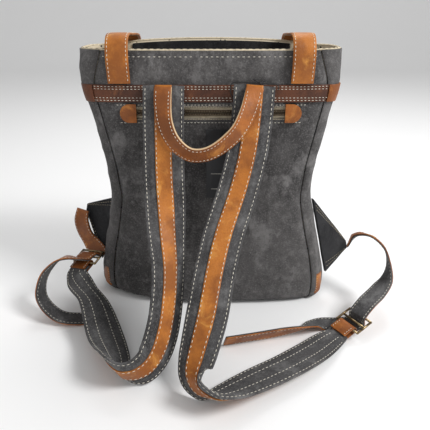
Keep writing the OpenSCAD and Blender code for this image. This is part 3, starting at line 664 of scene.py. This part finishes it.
# %% Creases in the canvas
def crease(p, z, low, high):
    """How far the canvas stands out at a point, in millimetres, between two fixed heights."""
    free = smoothstep((z - low) / 18) * smoothstep((high - z) / 18)
    q = Vector((p.x * 0.014, p.y * 0.014, z * 0.011))
    broad = noise.noise(q + Vector((3, 1, 7))) * 1.6
    ridge = (1 - abs(noise.noise(q * 2.1 + Vector((9, 4, 1))))) ** 5 * 1.5
    fine = noise.noise(q * 6 + Vector((1, 8, 2))) * 0.35
    return free * (0.9 + broad + ridge * 0.8 + fine)


def wall_piece(name, s0, s1, z0, z1, off, thick, cols, rows, material, node, slot, hem=1.0, hole=None,
               ss=None, zs=None, folds=True, body="bag"):
    ss = ss or steps(s0, s1, cols)
    zs = zs or steps(z0, z1, rows)

    def place(s, z):
        n = wall_normal(min(max(s, s0 + 0.01), s1 - 0.01), z)
        edge = min((s - s0) / (s1 - s0), (s1 - s) / (s1 - s0)) * 280 * min(1, (s1 - s0))
        roll = -hem * math.exp(-(edge / 2.2) ** 2)
        p = wall(s, z, off)
        lift = crease(p, z, z0 + 2, z1 - 2) * smoothstep(edge / 20) if folds else 0
        return p + n * (roll + lift)

    bm = grid(ss, zs, place, hole=hole)
    layer = bm.loops.layers.uv.active
    for f in bm.faces:
        for loop in f.loops:
            loop[layer].uv = (loop[layer].uv[0] * 290, loop.vert.co.z * mm)
    piece = add(name, bm, material, body, (node,) if node else (), slot)
    thicken(piece, thick)
    return soften(piece, min(0.45, thick * 0.3))


WINDOW = (0.155, 0.845, ZIP_Z - 6.5, ZIP_Z + 6.5)
CANVAS_T, LEATHER_T, LEATHER_OUT = 1.8, 1.9, 2.2
window_s = steps(0.0012, WINDOW[0], 24) + steps(WINDOW[0], WINDOW[1], 90)[1:]
window_s += steps(WINDOW[1], 0.9988, 24)[1:]
window_z = steps(0, WINDOW[2], 96) + steps(WINDOW[2], WINDOW[3], 6)[1:] + steps(WINDOW[3], 292.8, 8)[1:]
back = wall_piece("canvas back", 0.0012, 0.9988, 0, ZIP_Z - 8, 0, CANVAS_T, 0, 0, CANVAS, "back_panel",
                  "canvas", ss=window_s, zs=window_z,
                  hole=lambda s, z: WINDOW[0] < s < WINDOW[1] and WINDOW[2] < z < WINDOW[3])
for name, s0, s1, z0, z1, cols, rows, node in (
        ("canvas front", 2.0012, 2.9988, 0, 292.8, 100, 90, "front_panel"),
        ("canvas gusset right", 1.0035, 1.9965, 0, RIM_Z, 50, 110, "right_gusset"),
        ("canvas gusset left", 3.0035, 3.9965, 0, RIM_Z, 50, 110, "left_gusset"),
        ("back collar", 0.0012, 0.9988, 293.2, RIM_Z, 120, 22, "back_collar"),
        ("front collar", 2.0012, 2.9988, 293.2, RIM_Z, 120, 22, "front_collar")):
    wall_piece(name, s0, s1, z0, z1, 0, CANVAS_T, cols, rows, CANVAS, node, "canvas")
print("walls", len(back.data.polygons), "faces in the back")

# %% Base, board and lining
def flat_at(level, z, off):
    """A flat sheet at height z with the outline of a level: v runs from its middle to its edge."""
    def place(u, v):
        return Vector((*(wall(u / 16, level, off).xy * v), z))
    return place


base = grid(list(range(65)), [0, 0.33, 0.66, 1], flat_at(0, 0.02, -2.1), weld=True, thick=1.6)
add("base", base, DARK_CANVAS, "bag", ("base_panel",), "dark_canvas")


def lining_at(u, z):
    s = u / 24
    back_in = 9.9 - 9.9 * smoothstep((z - 272) / 20)
    p = wall(s, z, -3.3, 1 - back_in / 9.9)
    return p + Vector((0, back_in * min(1, max(0, -aim(s % 4)[1])) * 0.9, 0))


lining = grid(list(range(97)), steps(9, RIM_Z, 60), lining_at, weld=True)
lining = add("lining", lining, LINING, "bag", ("lining",), "cotton_lining")
thicken(lining, 0.6, 0)
floor_cloth = grid(list(range(65)), [0, 0.5, 1], flat_at(9, 9, -3.2), weld=True)
add("lining floor", floor_cloth, LINING, "bag", (), "cotton_lining")
board = grid(list(range(65)), [0, 0.5, 1], flat_at(2, 2.4, -7.5), weld=True, thick=-4.2)
soften(add("base board", board, FOAM, "bag", ("base_board",), "foam_board", flat=True), 1.0, 3)
bm = bmesh.new()
box(bm, (190, 0.9, 160), (0, 40.6, 140))
box(bm, (190, 0.9, 160), (0, 48, 140))
box(bm, (0.9, 8, 160), (-94.5, 44.3, 140))
box(bm, (0.9, 8, 160), (94.5, 44.3, 140))
box(bm, (190, 8, 0.9), (0, 44.3, 60.6))
add("slip pocket", bm, LINING, "bag", ("inner_pocket",), "cotton_lining", flat=True)
bm = bmesh.new()
box(bm, (208, 0.7, 150), (0, -54.4, 187.2))
box(bm, (208, 0.7, 168), (0, -50.6, 196))
box(bm, (0.7, 4.2, 168), (-103.6, -52.5, 196))
box(bm, (0.7, 4.2, 168), (103.6, -52.5, 196))
box(bm, (208, 4.2, 0.7), (0, -52.5, 112.4))
add("zip pocket bag", bm, LINING, "bag", ("back_pocket_bag",), "cotton_lining", flat=True)
print("inside made")

# %% [markdown]
# ## The rim and the leather band
# A thin pale binding closes the rim. The band below it is sewn with four rows of thread.


# %% Rim binding
def rim_at(u, v):
    s = u / 40
    p = wall(s, RIM_Z)
    n = wall_normal(s, RIM_Z - 3)
    n.z = 0
    n.normalize()
    a = v / 8 * math.tau
    return p - n * 1.9 + n * math.cos(a) * 2.3 + Vector((0, 0, 0.2 + math.sin(a) * 1.3))


bm = grid(list(range(161)), list(range(9)), rim_at, weld=True)
add("rim binding", bm, TAPE, "bag", ("rim_binding",), "cream_tape")
edge = [wall(u / 100, RIM_Z) for u in range(401)]
spots = along([p + Vector((0, 0, 1.35)) + Vector((-p.x, -10 - p.y, 0)).normalized() * 1.4 for p in edge],
              [Vector((0, 0, 1))] * 401, 7.5)
add("rim stitches", beads(spots, 4.6, 1.3, 0.5), BLACK_THREAD, "bag")
hem = []
for s0, s1, count in ((0.02, 0.98, 160), (2.02, 2.98, 160), (1.03, 1.97, 80), (3.03, 3.97, 80)):
    hem += wall_stitches(s0, s1, 334, 334, 0.25, 6, count)
add("collar stitches", beads(hem, 3.6, 0.8, 0.6), THREAD, "bag")
print(len(spots) + len(hem), "stitches on the rim")

# %% Leather band
# The band is tan all round: its back and left back pieces take the darker copy as painted shade, and the
# right back and front pieces the plain tan.
for name, s0, s1, cols, rows, material, node, slot in (
        ("band back left", 3.5, 4.0, 26, 6, TAN_IN_SHADE, None, "brown_leather"),
        ("band back", 0.0005, 0.9995, 120, 8, TAN_IN_SHADE, "band_back", "brown_leather"),
        ("band back right", 1.0, 1.498, 26, 6, TAN, None, "tan_leather"),
        ("band front", 1.502, 3.498, 190, 8, TAN, "band_front", "tan_leather")):
    wall_piece(name, s0, s1, 283, 303, LEATHER_OUT, LEATHER_T, cols, rows, material, node, slot,
               folds=False)
rows = []
for z in (285.2, 288.2, 298.2, 301):
    rows += wall_stitches(0.0, 1.0, z, z, 2.35, 4.4, 160) + wall_stitches(1.0, 4.0, z, z, 2.35, 4.4, 300)
add("band stitches", beads(rows, 3.0, 0.7, 0.55), THREAD, "bag")
for name, s0, s1 in (("right", 1.04, 1.26), ("left", 3.74, 3.96)):
    wall_piece(f"corner patch {name}", s0, s1, 9, 42, 2.2, 1.9, 14, 14, TAN,
               "corner_patches" if name == "right" else None, "tan_leather", folds=False)
rows = []
for s0, s1 in ((1.04, 1.26), (3.74, 3.96)):
    rows += wall_stitches(s0 + 0.015, s1 - 0.015, 39.5, 39.5, 2.35, 4.2, 30)
    for s in (s0 + 0.015, s1 - 0.015):
        rows += wall_stitches(s, s, 12, 39, 2.35, 4.2, 20)
add("patch stitches", beads(rows, 2.8, 0.7, 0.5), THREAD, "bag")
print("band and patches made")

# %% [markdown]
# ## Side seams
# Rows of black stitches mark the seams between the panels.

# %% Seams
rows = []
for s in (0.012, 0.988, 2.012, 2.988):
    rows += wall_stitches(s, s, 16, 281, 0.6, 5.2, 90)
for s0, s1 in ((0.02, 0.98), (2.02, 2.98), (1.02, 1.98), (3.02, 3.98)):
    rows += wall_stitches(s0, s1, 7, 7, 0.4, 6, 90)
add("seam stitches", beads(rows, 3.2, 0.6, 0.4), BLACK_THREAD, "bag")
print(len(rows), "seam stitches")

# %% [markdown]
# ## Back zip
# Two tapes behind the window carry the teeth; leather half-rounds cover the ends.

# %% Back zip
bm = bmesh.new()
for side in (-1, 1):
    box(bm, (208, 0.7, 11), (0, TAPE_Y + 0.35, ZIP_Z + side * 6.4))
add("zip tapes", bm, TAPE, "bag", ("back_zip_tapes",), "cream_tape", flat=True)
bm = bmesh.new()
for side in (-1, 1):
    for i in range(96):
        x = -95 + i * 2 + (0.5 if side > 0 else -0.5)
        box(bm, (1.25, 1.9, 2.0), (x, TAPE_Y - 1.35, ZIP_Z + side * 1.65))
    box(bm, (192, 1.0, 0.7), (0, TAPE_Y - 0.8, ZIP_Z + side * 3.0))
add("zip teeth", bm, TEETH, "bag", ("back_zip_chain",), "zip_teeth", flat=True)
rows = []
for z in (ZIP_Z - 11.5, ZIP_Z + 9.6):
    rows += wall_stitches(0.11, 0.89, z, z, 0.35, 4.2, 140)
add("zip stitches", beads(rows, 3.2, 0.75, 0.6), THREAD, "bag")
tape_edges = []
for z in (ZIP_Z - 7.3, ZIP_Z + 7.3):
    tape_edges += along([Vector((x, BACK_Y - 0.1, z)) for x in range(-98, 99, 4)],
                        [Vector((0, -1, 0))] * 50, 2.0)
add("zip tape edge", beads(tape_edges, 1.8, 1.2, 0.8), TAPE, "bag")


def patch_at(side):
    def place(u, v):
        a = -math.pi / 2 + math.pi * u
        c, r = 97, 11.0
        x = c + r * math.cos(a) if side > 0 else -c - r * math.cos(a)
        inner = 88.5 * side
        return Vector((inner + (x - inner) * v, BACK_Y - 0.4 - 1.7 * (v < 2), ZIP_Z + r * math.sin(a)))
    return place


rows = []
for side in (-1, 1):
    piece = add(f"zip patch {side}", grid(steps(0, 1, 24), steps(0, 1, 6), patch_at(side)), TAN, "bag",
                ("back_zip_patches",) if side > 0 else (), "tan_leather")
    soften(thicken(piece, 1.6, 1), 0.4)
    ring = [Vector((side * (97 + 8.7 * math.cos(a)), BACK_Y - 2.4, ZIP_Z + 8.7 * math.sin(a)))
            for a in steps(-math.pi / 2, math.pi / 2, 20)]
    low, high = (Vector((side * 90.5, BACK_Y - 2.4, ZIP_Z + z)) for z in (-8.7, 8.7))
    ring = [low] + ring + [high]
    rows += along(ring + [ring[0]], [Vector((0, -1, 0))] * len(ring), 3.6)
add("zip patch stitches", beads(rows, 2.5, 0.7, 0.9), THREAD, "bag")
bm = bmesh.new()
box(bm, (12, 1.6, 9), (-70, TAPE_Y - 3.7, ZIP_Z))
box(bm, (4, 5, 0.5), (-67, TAPE_Y - 0.5, ZIP_Z))
box(bm, (12, 1, 8.6), (-70, TAPE_Y + 1.7, ZIP_Z))
box(bm, (7, 1.4, 2), (-70, TAPE_Y - 5.1, ZIP_Z))
rod(bm, 1.2, (-70, TAPE_Y - 5.5, ZIP_Z), (-70, TAPE_Y - 8.2, ZIP_Z))
rod(bm, 2.3, (-70, TAPE_Y - 7.8, ZIP_Z), (-70, TAPE_Y - 8.5, ZIP_Z))
slider = add("zip slider", bm, BRASS, "back_slider", ("back_zip_slider",), "antique_brass", flat=True)
soften(slider, 0.35)


def pull_at(length, width):
    """A leather pull: a long rounded strip with a hole, drawn as rings round its middle."""
    def place(u, v):
        a = u / 32 * math.tau
        hole = Vector((math.cos(a) * 1.6, 0, math.sin(a) * 1.6))
        drop = length if math.sin(a) < 0 else 0
        out = Vector((math.cos(a) * width / 2, 0, math.sin(a) * width / 2 - drop))
        return hole.lerp(out, v)
    return place


pull = grid(list(range(33)), [0, 0.3, 0.6, 1], pull_at(20, 8), weld=True)
bmesh.ops.translate(pull, verts=pull.verts, vec=(-70, TAPE_Y - 6.3, ZIP_Z))
pull = add("zip pull", pull, TAN, "back_pull", ("back_zip_pull",), "tan_leather")
soften(thicken(pull, 1.0, 1), 0.3)
print("back zip made with", len(rows), "patch stitches")

# %% [markdown]
# ## Zip inside the mouth
# Black facings hang under the rim and the open zip's two tapes run along their lower edge.

# %% Mouth facings and zip
for name, s0, s1, node in (("back", 0.13, 0.87, "mouth_facings"), ("front", 2.13, 2.87, None)):
    wall_piece(f"facing {name}", s0, s1, 307, 339, -4.4, 0.9, 80, 14, DARK_CANVAS, node, "dark_canvas",
               hem=0)


MOUTH_Y = -10


def tape_rows(start, end, turn):
    rows = [[*wall(start + (end - start) * k / 8, 301.5, -8.5), 0, 0, -1, 1] for k in range(9)]
    rows += [[90, MOUTH_Y - turn * 30, 301, 0, 0.3 * turn, -1, 1],
             [102, MOUTH_Y - turn * 14, 300.5, 0, turn, -0.5, 1],
             [109, MOUTH_Y - turn * 7, 300, 0, turn, 0, 1]]
    return rows + [[x, MOUTH_Y - turn * 6.4, 300, 0, turn, 0, 1] for x in (115, 128, 144)]


teeth = bmesh.new()
for name, a, b, turn in (("back", 0.14, 0.7, 1), ("front", 2.86, 2.3, -1)):
    rows = tape_rows(a, b, turn)
    bm, line = sweep(rows, slab(10, 0.7, n=2, corner=0.2), 5)
    add(f"mouth tape {name}", cloth_map(bm, line), TAPE, "bag", ("mouth_zip_tapes",) if turn > 0 else (),
        "cream_tape")
    for p, d, n, f, far in frames(rows, 9)[6:]:
        turn4 = Matrix((d, n, d.cross(n))).transposed().to_4x4()
        box(teeth, (1.3, 2.0, 1.2), (0, 0, 0), Matrix.Translation(p + d * 5.2) @ turn4)
add("mouth teeth", teeth, TEETH, "bag", ("mouth_zip_chain",), "zip_teeth", flat=True)
bm = bmesh.new()
box(bm, (10, 8, 1.6), (138, MOUTH_Y, 302.3))
box(bm, (10, 8, 1.6), (138, MOUTH_Y, 297.7))
box(bm, (3, 0.5, 4), (135.5, MOUTH_Y, 300))
box(bm, (5, 2, 1.6), (138, MOUTH_Y, 303.8))
rod(bm, 1.1, (138, MOUTH_Y, 304.4), (138, MOUTH_Y, 307))
rod(bm, 2.3, (138, MOUTH_Y, 306.6), (138, MOUTH_Y, 307.3))
slider = add("mouth slider", bm, BRASS, "mouth_slider", ("mouth_zip_slider",), "antique_brass", flat=True)
soften(slider, 0.35)
pull = grid(list(range(33)), [0, 0.3, 0.6, 1], pull_at(20, 7.2), weld=True)
quarter = math.radians(-90)
turned = Matrix.Translation((138, MOUTH_Y, 305.1)) @ Matrix.Rotation(quarter, 4, "Z")
turned = turned @ Matrix.Rotation(quarter, 4, "X")
bmesh.ops.transform(pull, matrix=turned, verts=pull.verts)
pull = add("mouth pull", pull, TAN, "mouth_pull", ("mouth_zip_pull",), "tan_leather")
thicken(pull, 0.9, 0)
print("mouth made")


# %% [markdown]
# ## Front pocket and snaps
# The patch pocket stands off the front and opens at its leather-trimmed top.

# %% Front pocket
def pocket_at(off):
    def place(u, z):
        v = (z - 26) / 172
        lift = 15 * (1 - abs(u) ** 5) * (1 - (1 - v) ** 4)
        p = wall(2.5 + 0.39 * u, z, 0.3 + off + lift)
        return p + Vector((0, crease(p, z, 30, 178) * 0.8 * smoothstep((1 - abs(u)) * 6), 0))
    return place


bm = grid(steps(-1, 1, 90), steps(26, 198, 60), pocket_at(1.8))
layer = bm.loops.layers.uv.active
for f in bm.faces:
    for loop in f.loops:
        loop[layer].uv = (loop.vert.co.x * mm, loop.vert.co.z * mm)
shelled(add("front pocket", bm, CANVAS, "bag", ("front_pocket",), "canvas"), 1.8)
bm = grid(steps(-1, 1, 90), steps(180, 198, 6), pocket_at(4.0))
shelled(add("pocket trim", bm, TAN, "bag", ("front_pocket_trim",), "tan_leather"), 1.9)
rows = []
for z in (182.5, 195.5):
    line = [pocket_at(4.15)(u, z) for u in steps(-0.98, 0.98, 80)]
    rows += along(line, [Vector((0, 1, 0))] * 80, 4.4)
for u in (-0.985, 0.985):
    rows += along([pocket_at(1.95)(u, z) for z in steps(30, 176, 40)],
                  [wall_normal(2.5 + 0.39 * u, 100)] * 40, 4.6)
add("pocket stitches", beads(rows, 3.1, 0.7, 0.6), THREAD, "bag")
for side, name in ((-1, "left"), (1, "right")):
    mid = 2.5 - side * 0.372
    wall_piece(f"closure tab {name}", mid - 0.045, mid + 0.045, 212, 262, 2.2, 1.9, 10, 16, TAN,
               "closure_tabs" if side > 0 else None, "tan_leather", folds=False)
bm = bmesh.new()
for side in (-1, 1):
    rod(bm, 7, (side * 106, 52.95, 238), (side * 106, 54.3, 238), 40, 6.2)
soften(add("snap sockets", bm, BRASS, "bag", ("snap_sockets",), "antique_brass", flat=True), 0.4)
print("front made")

# %% [markdown]
# ## Closure straps and handle
# Thick waxed leather with stitched edges. The handle is folded and shows its pale cut edge.

# %% Closure straps
for side, name in ((-1, "left"), (1, "right")):
    body = f"{name}_closure"
    rows = [[r[0] + side * 106, *r[1:]] for r in CLOSURE]
    bm, line = sweep(rows, slab(26, 3.0, edge=2.4, hem=1.5, n=12), 7)
    add(f"closure strap {name}", cloth_map(bm, line), ORANGE, body, (f"{name}_closure_strap",),
        "tan_leather")
    stitches = []
    for a in (-10.6, 10.6):
        stitches += strap_stitches(line, a, 1.45, 2, -2, 4.6) + strap_stitches(line, a, -1.45, 2, -2, 4.6)
    add(f"closure stitches {name}", beads(stitches, 3.1, 0.8, 0.6), THREAD, body)
    bm = bmesh.new()
    rod(bm, 6, (side * 106, 54.9, 238), (side * 106, 55.9, 238), 40)
    rod(bm, 6.5, (side * 106, 59.6, 238), (side * 106, 60.5, 238), 40, 5.2)
    soften(add(f"snap {name}", bm, BRASS, body, (f"{name}_snap_stud",), "antique_brass", flat=True), 0.3)
    bm = bmesh.new()
    half = 15.6
    loop = [(-half, 0, -11), (-half, 3.4, -11), (half, 3.4, -11), (half, 0, -11), (half, 0, 11),
            (half, 3.4, 11), (-half, 3.4, 11), (-half, 0, 11), (-half, 0, -11)]
    for a, b in zip(loop, loop[1:]):
        rod(bm, 1.4, a, b, 16)
        bmesh.ops.create_uvsphere(bm, u_segments=12, v_segments=8, radius=1.4,
                                  matrix=Matrix.Translation(a))
    rod(bm, 1.1, (0, 5.6, -12), (0, 5.6, 12), 16)
    place = Matrix.Translation((side * 106, 55.9, 268)) @ Matrix.Rotation(math.radians(3.4), 4, "X")
    bmesh.ops.transform(bm, matrix=place, verts=bm.verts)
    add(f"buckle {name}", bm, BRASS, body, (f"{name}_closure_buckle",), "antique_brass")
print("closure straps made")


# %% Handle
def handle_bumps(a, far):
    return 0.25 * noise.noise(Vector((a * 0.1, far * 0.06, 4)))


bm, line = sweep(HANDLE, slab(20, 3.4, edge=2.6, hem=1.0, n=12, corner=0.7), 10, handle_bumps)
add("handle", cloth_map(bm, line), TAN, "handle", ("handle",), "tan_leather")
stitches = strap_stitches(line, -7.4, 1.7, 3, -3, 4.4) + strap_stitches(line, 7.4, 1.7, 3, -3, 4.4)
add("handle stitches", beads(stitches, 3.0, 0.8, 0.6), THREAD, "handle")
bm, line = sweep([[*(Vector(r[:3]) + Vector(r[3:6]).normalized() * 10.1), *r[3:]] for r in HANDLE],
                 slab(0.5, 2.2, n=2, corner=0.2), 10)
add("handle cut edge", bm, EDGE, "handle")
print("handle made")

# %% [markdown]
# ## Shoulder straps
# Padded canvas, thin at its stitched hems, with a leather strip down the middle.


# %% Shoulder straps
def strap_bumps(seed):
    def bumps(a, far):
        soft_part = smoothstep((24 - abs(a)) / 8)
        return soft_part * (0.35 * noise.noise(Vector((a * 0.05, far * 0.045, seed)))
                            + 0.2 * noise.noise(Vector((a * 0.12, far * 0.15, seed + 3))))
    return bumps


TAB_STEPS = 12  # steps at a strap's end that its leather tab hides
for name, rows, seed in (("left", LEFT_STRAP, 2.0), ("right", RIGHT_STRAP, 8.0)):
    start = Vector(rows[3][:3]) * mm + Vector((0, 0.002, 0.012))
    end = Vector(rows[3][:3]) * mm - Vector((0, 0.002, 0.012))

    def bent(piece):
        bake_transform(piece)
        return piece

    bm, line = sweep(rows, slab(48, 5.0, edge=2.2, hem=5.5, n=28, corner=0.5), 9, strap_bumps(seed))
    sleeve = bent(add(f"{name} shoulder strap", cloth_map(bm, line), STRAP_CANVAS))
    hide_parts(f"{name}_strap", f"{name}_strap_top", f"{name}_strap_pad")
    strip_rows = [[*(Vector(r[:3])), *r[3:]] for r in rows[:-3]]
    strip_line = frames(strip_rows, 9)
    ring = slab(19.5, 1.4, n=8, corner=0.3)
    ring = [(a, b + 3.2) for a, b in ring]
    bm, _ = sweep(strip_rows, ring, 9)
    strip = bent(add(f"{name} leather strip", cloth_map(bm, strip_line), ORANGE))
    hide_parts(f"{name}_strip", f"{name}_strip_top")
    stitches = []
    for a in (-8.2, 8.2):
        stitches += strap_stitches(strip_line, a, 4.05, 1, -1, 5.6)
    for a in (-21.2, 21.2):
        stitches += strap_stitches(line, a, 1.35, 1, -TAB_STEPS, 5.2)
    for a in (-21.2, -9, 9, 21.2):
        stitches += strap_stitches(line, a, -1.35 if abs(a) > 20 else -2.7, 1, -TAB_STEPS, 5.2)
    bent(add(f"{name} strap stitches", beads(stitches, 3.7, 0.9, 0.6), THREAD))
    print(name, "strap", len(sleeve.data.polygons), "faces", len(stitches), "stitches")

# %% [markdown]
# ## Adjusters, end tabs and webbing
# Wire slides hold the straps' ends. The webbing is canvas faced with leather on one side.


# %% Adjusters and end tabs
SLIDES = {"left": slide_frame(*LEFT_SLIDE), "right": slide_frame(*RIGHT_SLIDE)}
for name, place in SLIDES.items():
    body = f"{name}_harness"
    bm = bmesh.new()
    for y in (-12, 0, 12):
        rod(bm, 1.5, (-18, y, 0), (18, y, 0), 16)
    for x in (-18, 18):
        rod(bm, 1.5, (x, -12, 0), (x, 12, 0), 16)
        for y in (-12, 12):
            bmesh.ops.create_uvsphere(bm, u_segments=16, v_segments=10, radius=1.5,
                                      matrix=Matrix.Translation((x, y, 0)))
    bmesh.ops.transform(bm, matrix=place, verts=bm.verts)
    add(f"{name} slide", bm, BRASS, body, (f"{name}_adjuster",), "antique_brass")
    fold = [(-16, 3.8)] + [(-4 + 4 * k / 3, 3.8) for k in range(3)]
    fold += [(3.8 * math.sin(a), 3.8 * math.cos(a)) for a in steps(0, math.pi, 12)]
    fold += [(-4 - 4 * k / 3 + 2, -3.8) for k in range(3)] + [(-16, -3.8)]
    tab = grid(steps(-12.5, 12.5, 6), list(range(len(fold))),
               lambda u, v: Vector((u, -12 + fold[int(v)][0], fold[int(v)][1])))
    bmesh.ops.transform(tab, matrix=place, verts=tab.verts)
    piece = add(f"{name} end tab", tab, TAN, body, (f"{name}_end_tab",), "tan_leather")
    shelled(piece, 1.4, 0)
    spots = []
    for x in (-10, 10):
        line = [place @ Vector((x, -12 + y, 4.6)) for y in steps(-15, -2, 12)]
        spots += along(line, [(place.to_3x3() @ Vector((0, 0, 1)))] * 12, 3.6)
    add(f"{name} tab stitches", beads(spots, 2.5, 0.8, 0.5), THREAD, body)
print("slides made")

# %% Webbing
for name, rows, slot_row in (("left", LEFT_WEBBING, 6), ("right", RIGHT_WEBBING, 9)):
    start = Vector(rows[0][:3]) * mm
    end = Vector(rows[slot_row][:3]) * mm
    turned = 1 if name == "left" else -1  # which face the leather is on
    for part, b0, b1, material, slot in (("canvas face", -1.4 * turned, 0.0, STRAP_CANVAS, "webbing"),
                                         ("leather face", 0.05 * turned, 1.4 * turned, TAN, "tan_leather")):
        wide = 25 if part == "canvas face" else 24.6
        ring = [(a, b + (b0 + b1) / 2) for a, b in slab(wide, abs(b1 - b0), n=8, corner=0.3)]
        bm, line = sweep(rows, ring, 8)
        piece = add(f"{name} webbing {part}", cloth_map(bm, line), material)
        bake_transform(piece)
    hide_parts(f"{name}_webbing")
    stitches = []
    for a in (-10.3, 10.3):
        stitches += strap_stitches(line, a, -1.5, 2, -3, 4.8) + strap_stitches(line, a, 1.5, 2, -3, 4.8)
    piece = add(f"{name} webbing stitches", beads(stitches, 3.2, 0.8, 0.5), THREAD)
    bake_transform(piece)
print("webbing made")

# %% [markdown]
# ## Wings, tag and string


# %% Wings
def wing(name, top, low, tip):
    top, low, tip = Vector(top), Vector(low), Vector(tip)
    n = (low - top).cross(tip - top).normalized()
    blunt = 6 * (low - top).normalized()

    def place(u, v):
        near = top.lerp(low, v)
        far = (tip - blunt).lerp(tip + blunt, v)
        puff = 1.4 * math.sin(math.pi * u) * math.sin(math.pi * v)
        return near.lerp(far, u) + n * (puff + 0.5 * noise.noise(near.lerp(far, u) * 0.06))

    piece = add(f"{name} wing", grid(steps(0, 1, 20), steps(0, 1, 28), place), DARK_CANVAS, "bag",
                (f"{name}_wing",), "dark_canvas")
    shelled(piece, 3.6, 0)
    spots = []
    for v in (0.06, 0.12, 0.88, 0.94):
        line = [place(u, v) for u in steps(0.04, 0.94, 20)]
        for side in (-1, 1):
            spots += along([p + n * side * 1.95 for p in line], [n * side] * 20, 4.6)
    add(f"{name} wing stitches", beads(spots, 3.0, 0.6, 0.5), TAPE, "bag")


wing("right", (135, -40, 152), (164, -34, 36), (199, -2, 64))
wing("left", (-137, -6, 140), (-165, 2, 38), (-184, 18, 115))
print("wings made")

# %% Tag and string
hole = Vector((17, -66.6, 247))


def tag_at(u, v):
    a = (u / 48) * math.tau
    r = Vector((math.cos(a), math.sin(a)))
    k = 1 / max(abs(r.x), abs(r.y))
    corner = Vector((r.x * k * 23, r.y * k * 44))
    inner = Vector((r.x * 2.8, r.y * 2.8))
    outer = Vector((corner.x, corner.y - 39))
    p = inner.lerp(outer, v)
    return hole + Vector((p.x, 0.0, p.y))


card = grid(list(range(49)), [0, 0.2, 0.6, 1], tag_at, weld=True)
shelled(add("hang tag", card, CARD, "tag", ("hang_tag",), "black_card"), 1.1, 0)
bm = bmesh.new()
for z in (196, 176):
    box(bm, (34, 0.12, 0.7), (17, -67.25, z))
add("tag lines", bm, CARD_PRINT, "tag", flat=True)
points = [Vector(p) for p in through(TAG_STRING, 6)]


def cord_ring(u, v):
    i = int(v)
    t = (points[min(i + 1, len(points) - 1)] - points[max(i - 1, 0)]).normalized()
    d = t.cross(Vector((0, 0, 1)) if abs(t.z) < 0.9 else Vector((1, 0, 0))).normalized()
    a = u / 8 * math.tau
    return points[i] + (d * math.cos(a) + t.cross(d) * math.sin(a)) * 0.6


string = grid(list(range(9)), list(range(len(points))), cord_ring, weld=True, cap=True)
string = add("tag string", string, STRING, "bag", ("tag_string",), "black_cord")
knot = bmesh.new()
for p, r in (((57, -67.8, 305.9), 1.9), ((58.6, -67.7, 306.6), 1.4), ((55.6, -67.9, 305.6), 1.3)):
    bmesh.ops.create_uvsphere(knot, u_segments=12, v_segments=8, radius=r, matrix=Matrix.Translation(p))
rod(knot, 0.6, (57, -67.8, 306), (49, -66.8, 310), 8)
rod(knot, 0.6, (57.5, -67.8, 306), (65, -66.6, 309.5), 8)
knot = add("string knot", knot, STRING, "bag")

# %% [markdown]
# ## Floor and light
# A pale floor that runs up behind the bag, a soft key light and an even pale surround.

# %% Floor, backdrop and lights
def backdrop_at(u, v):
    """A floor from v = -4000 to 2500 mm that then curves up into a wall."""
    bend, r = 2500, 900
    if v <= bend:
        return Vector((u, v, -0.4))
    a = min((v - bend) / r, math.pi / 2)
    over = max(0, v - bend - r * math.pi / 2)
    return Vector((u, bend + r * math.sin(a), -0.4 + r * (1 - math.cos(a)) + over))


lengths = steps(-4000, 2500, 4) + steps(2500, 4000, 24)[1:] + [6500]
floor = add("floor", grid([-5000, 0, 5000], lengths, backdrop_at),
            Paint("pale floor", (0.88, 0.88, 0.88), 0.9, specular=0.1).done())
floor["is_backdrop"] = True
world = bpy.data.worlds.new("studio")
world.use_nodes = True
world.node_tree.nodes["Background"].inputs[0].default_value = (1.0, 1.0, 1.0, 1)
world.node_tree.nodes["Background"].inputs[1].default_value = 0.52
bpy.context.scene.world = world


def lamp(name, at, target, power, size):
    data = bpy.data.lights.new(name, "AREA")
    data.energy, data.size = power, size
    lamp_object = bpy.data.objects.new(name, data)
    bpy.context.scene.collection.objects.link(lamp_object)
    lamp_object.location = at
    lamp_object.rotation_euler = (Vector(target) - Vector(at)).to_track_quat("-Z", "Y").to_euler()
    return lamp_object


lamp("key", (1.3, -0.75, 1.5), (0, 0, 0.15), 32, 0.6)
lamp("fill", (-1.2, -1.4, 0.9), (0, 0, 0.15), 2, 1.2)
lamp("top", (0.2, 0.9, 1.6), (0, 0, 0.2), 10, 0.8)
bpy.context.scene.view_settings.view_transform = "Standard"

# %% [markdown]
# ## Sizes and finish

# %% Print the visual box
low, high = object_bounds()
print("visual box", [round(v, 3) for v in low], [round(v, 3) for v in high])
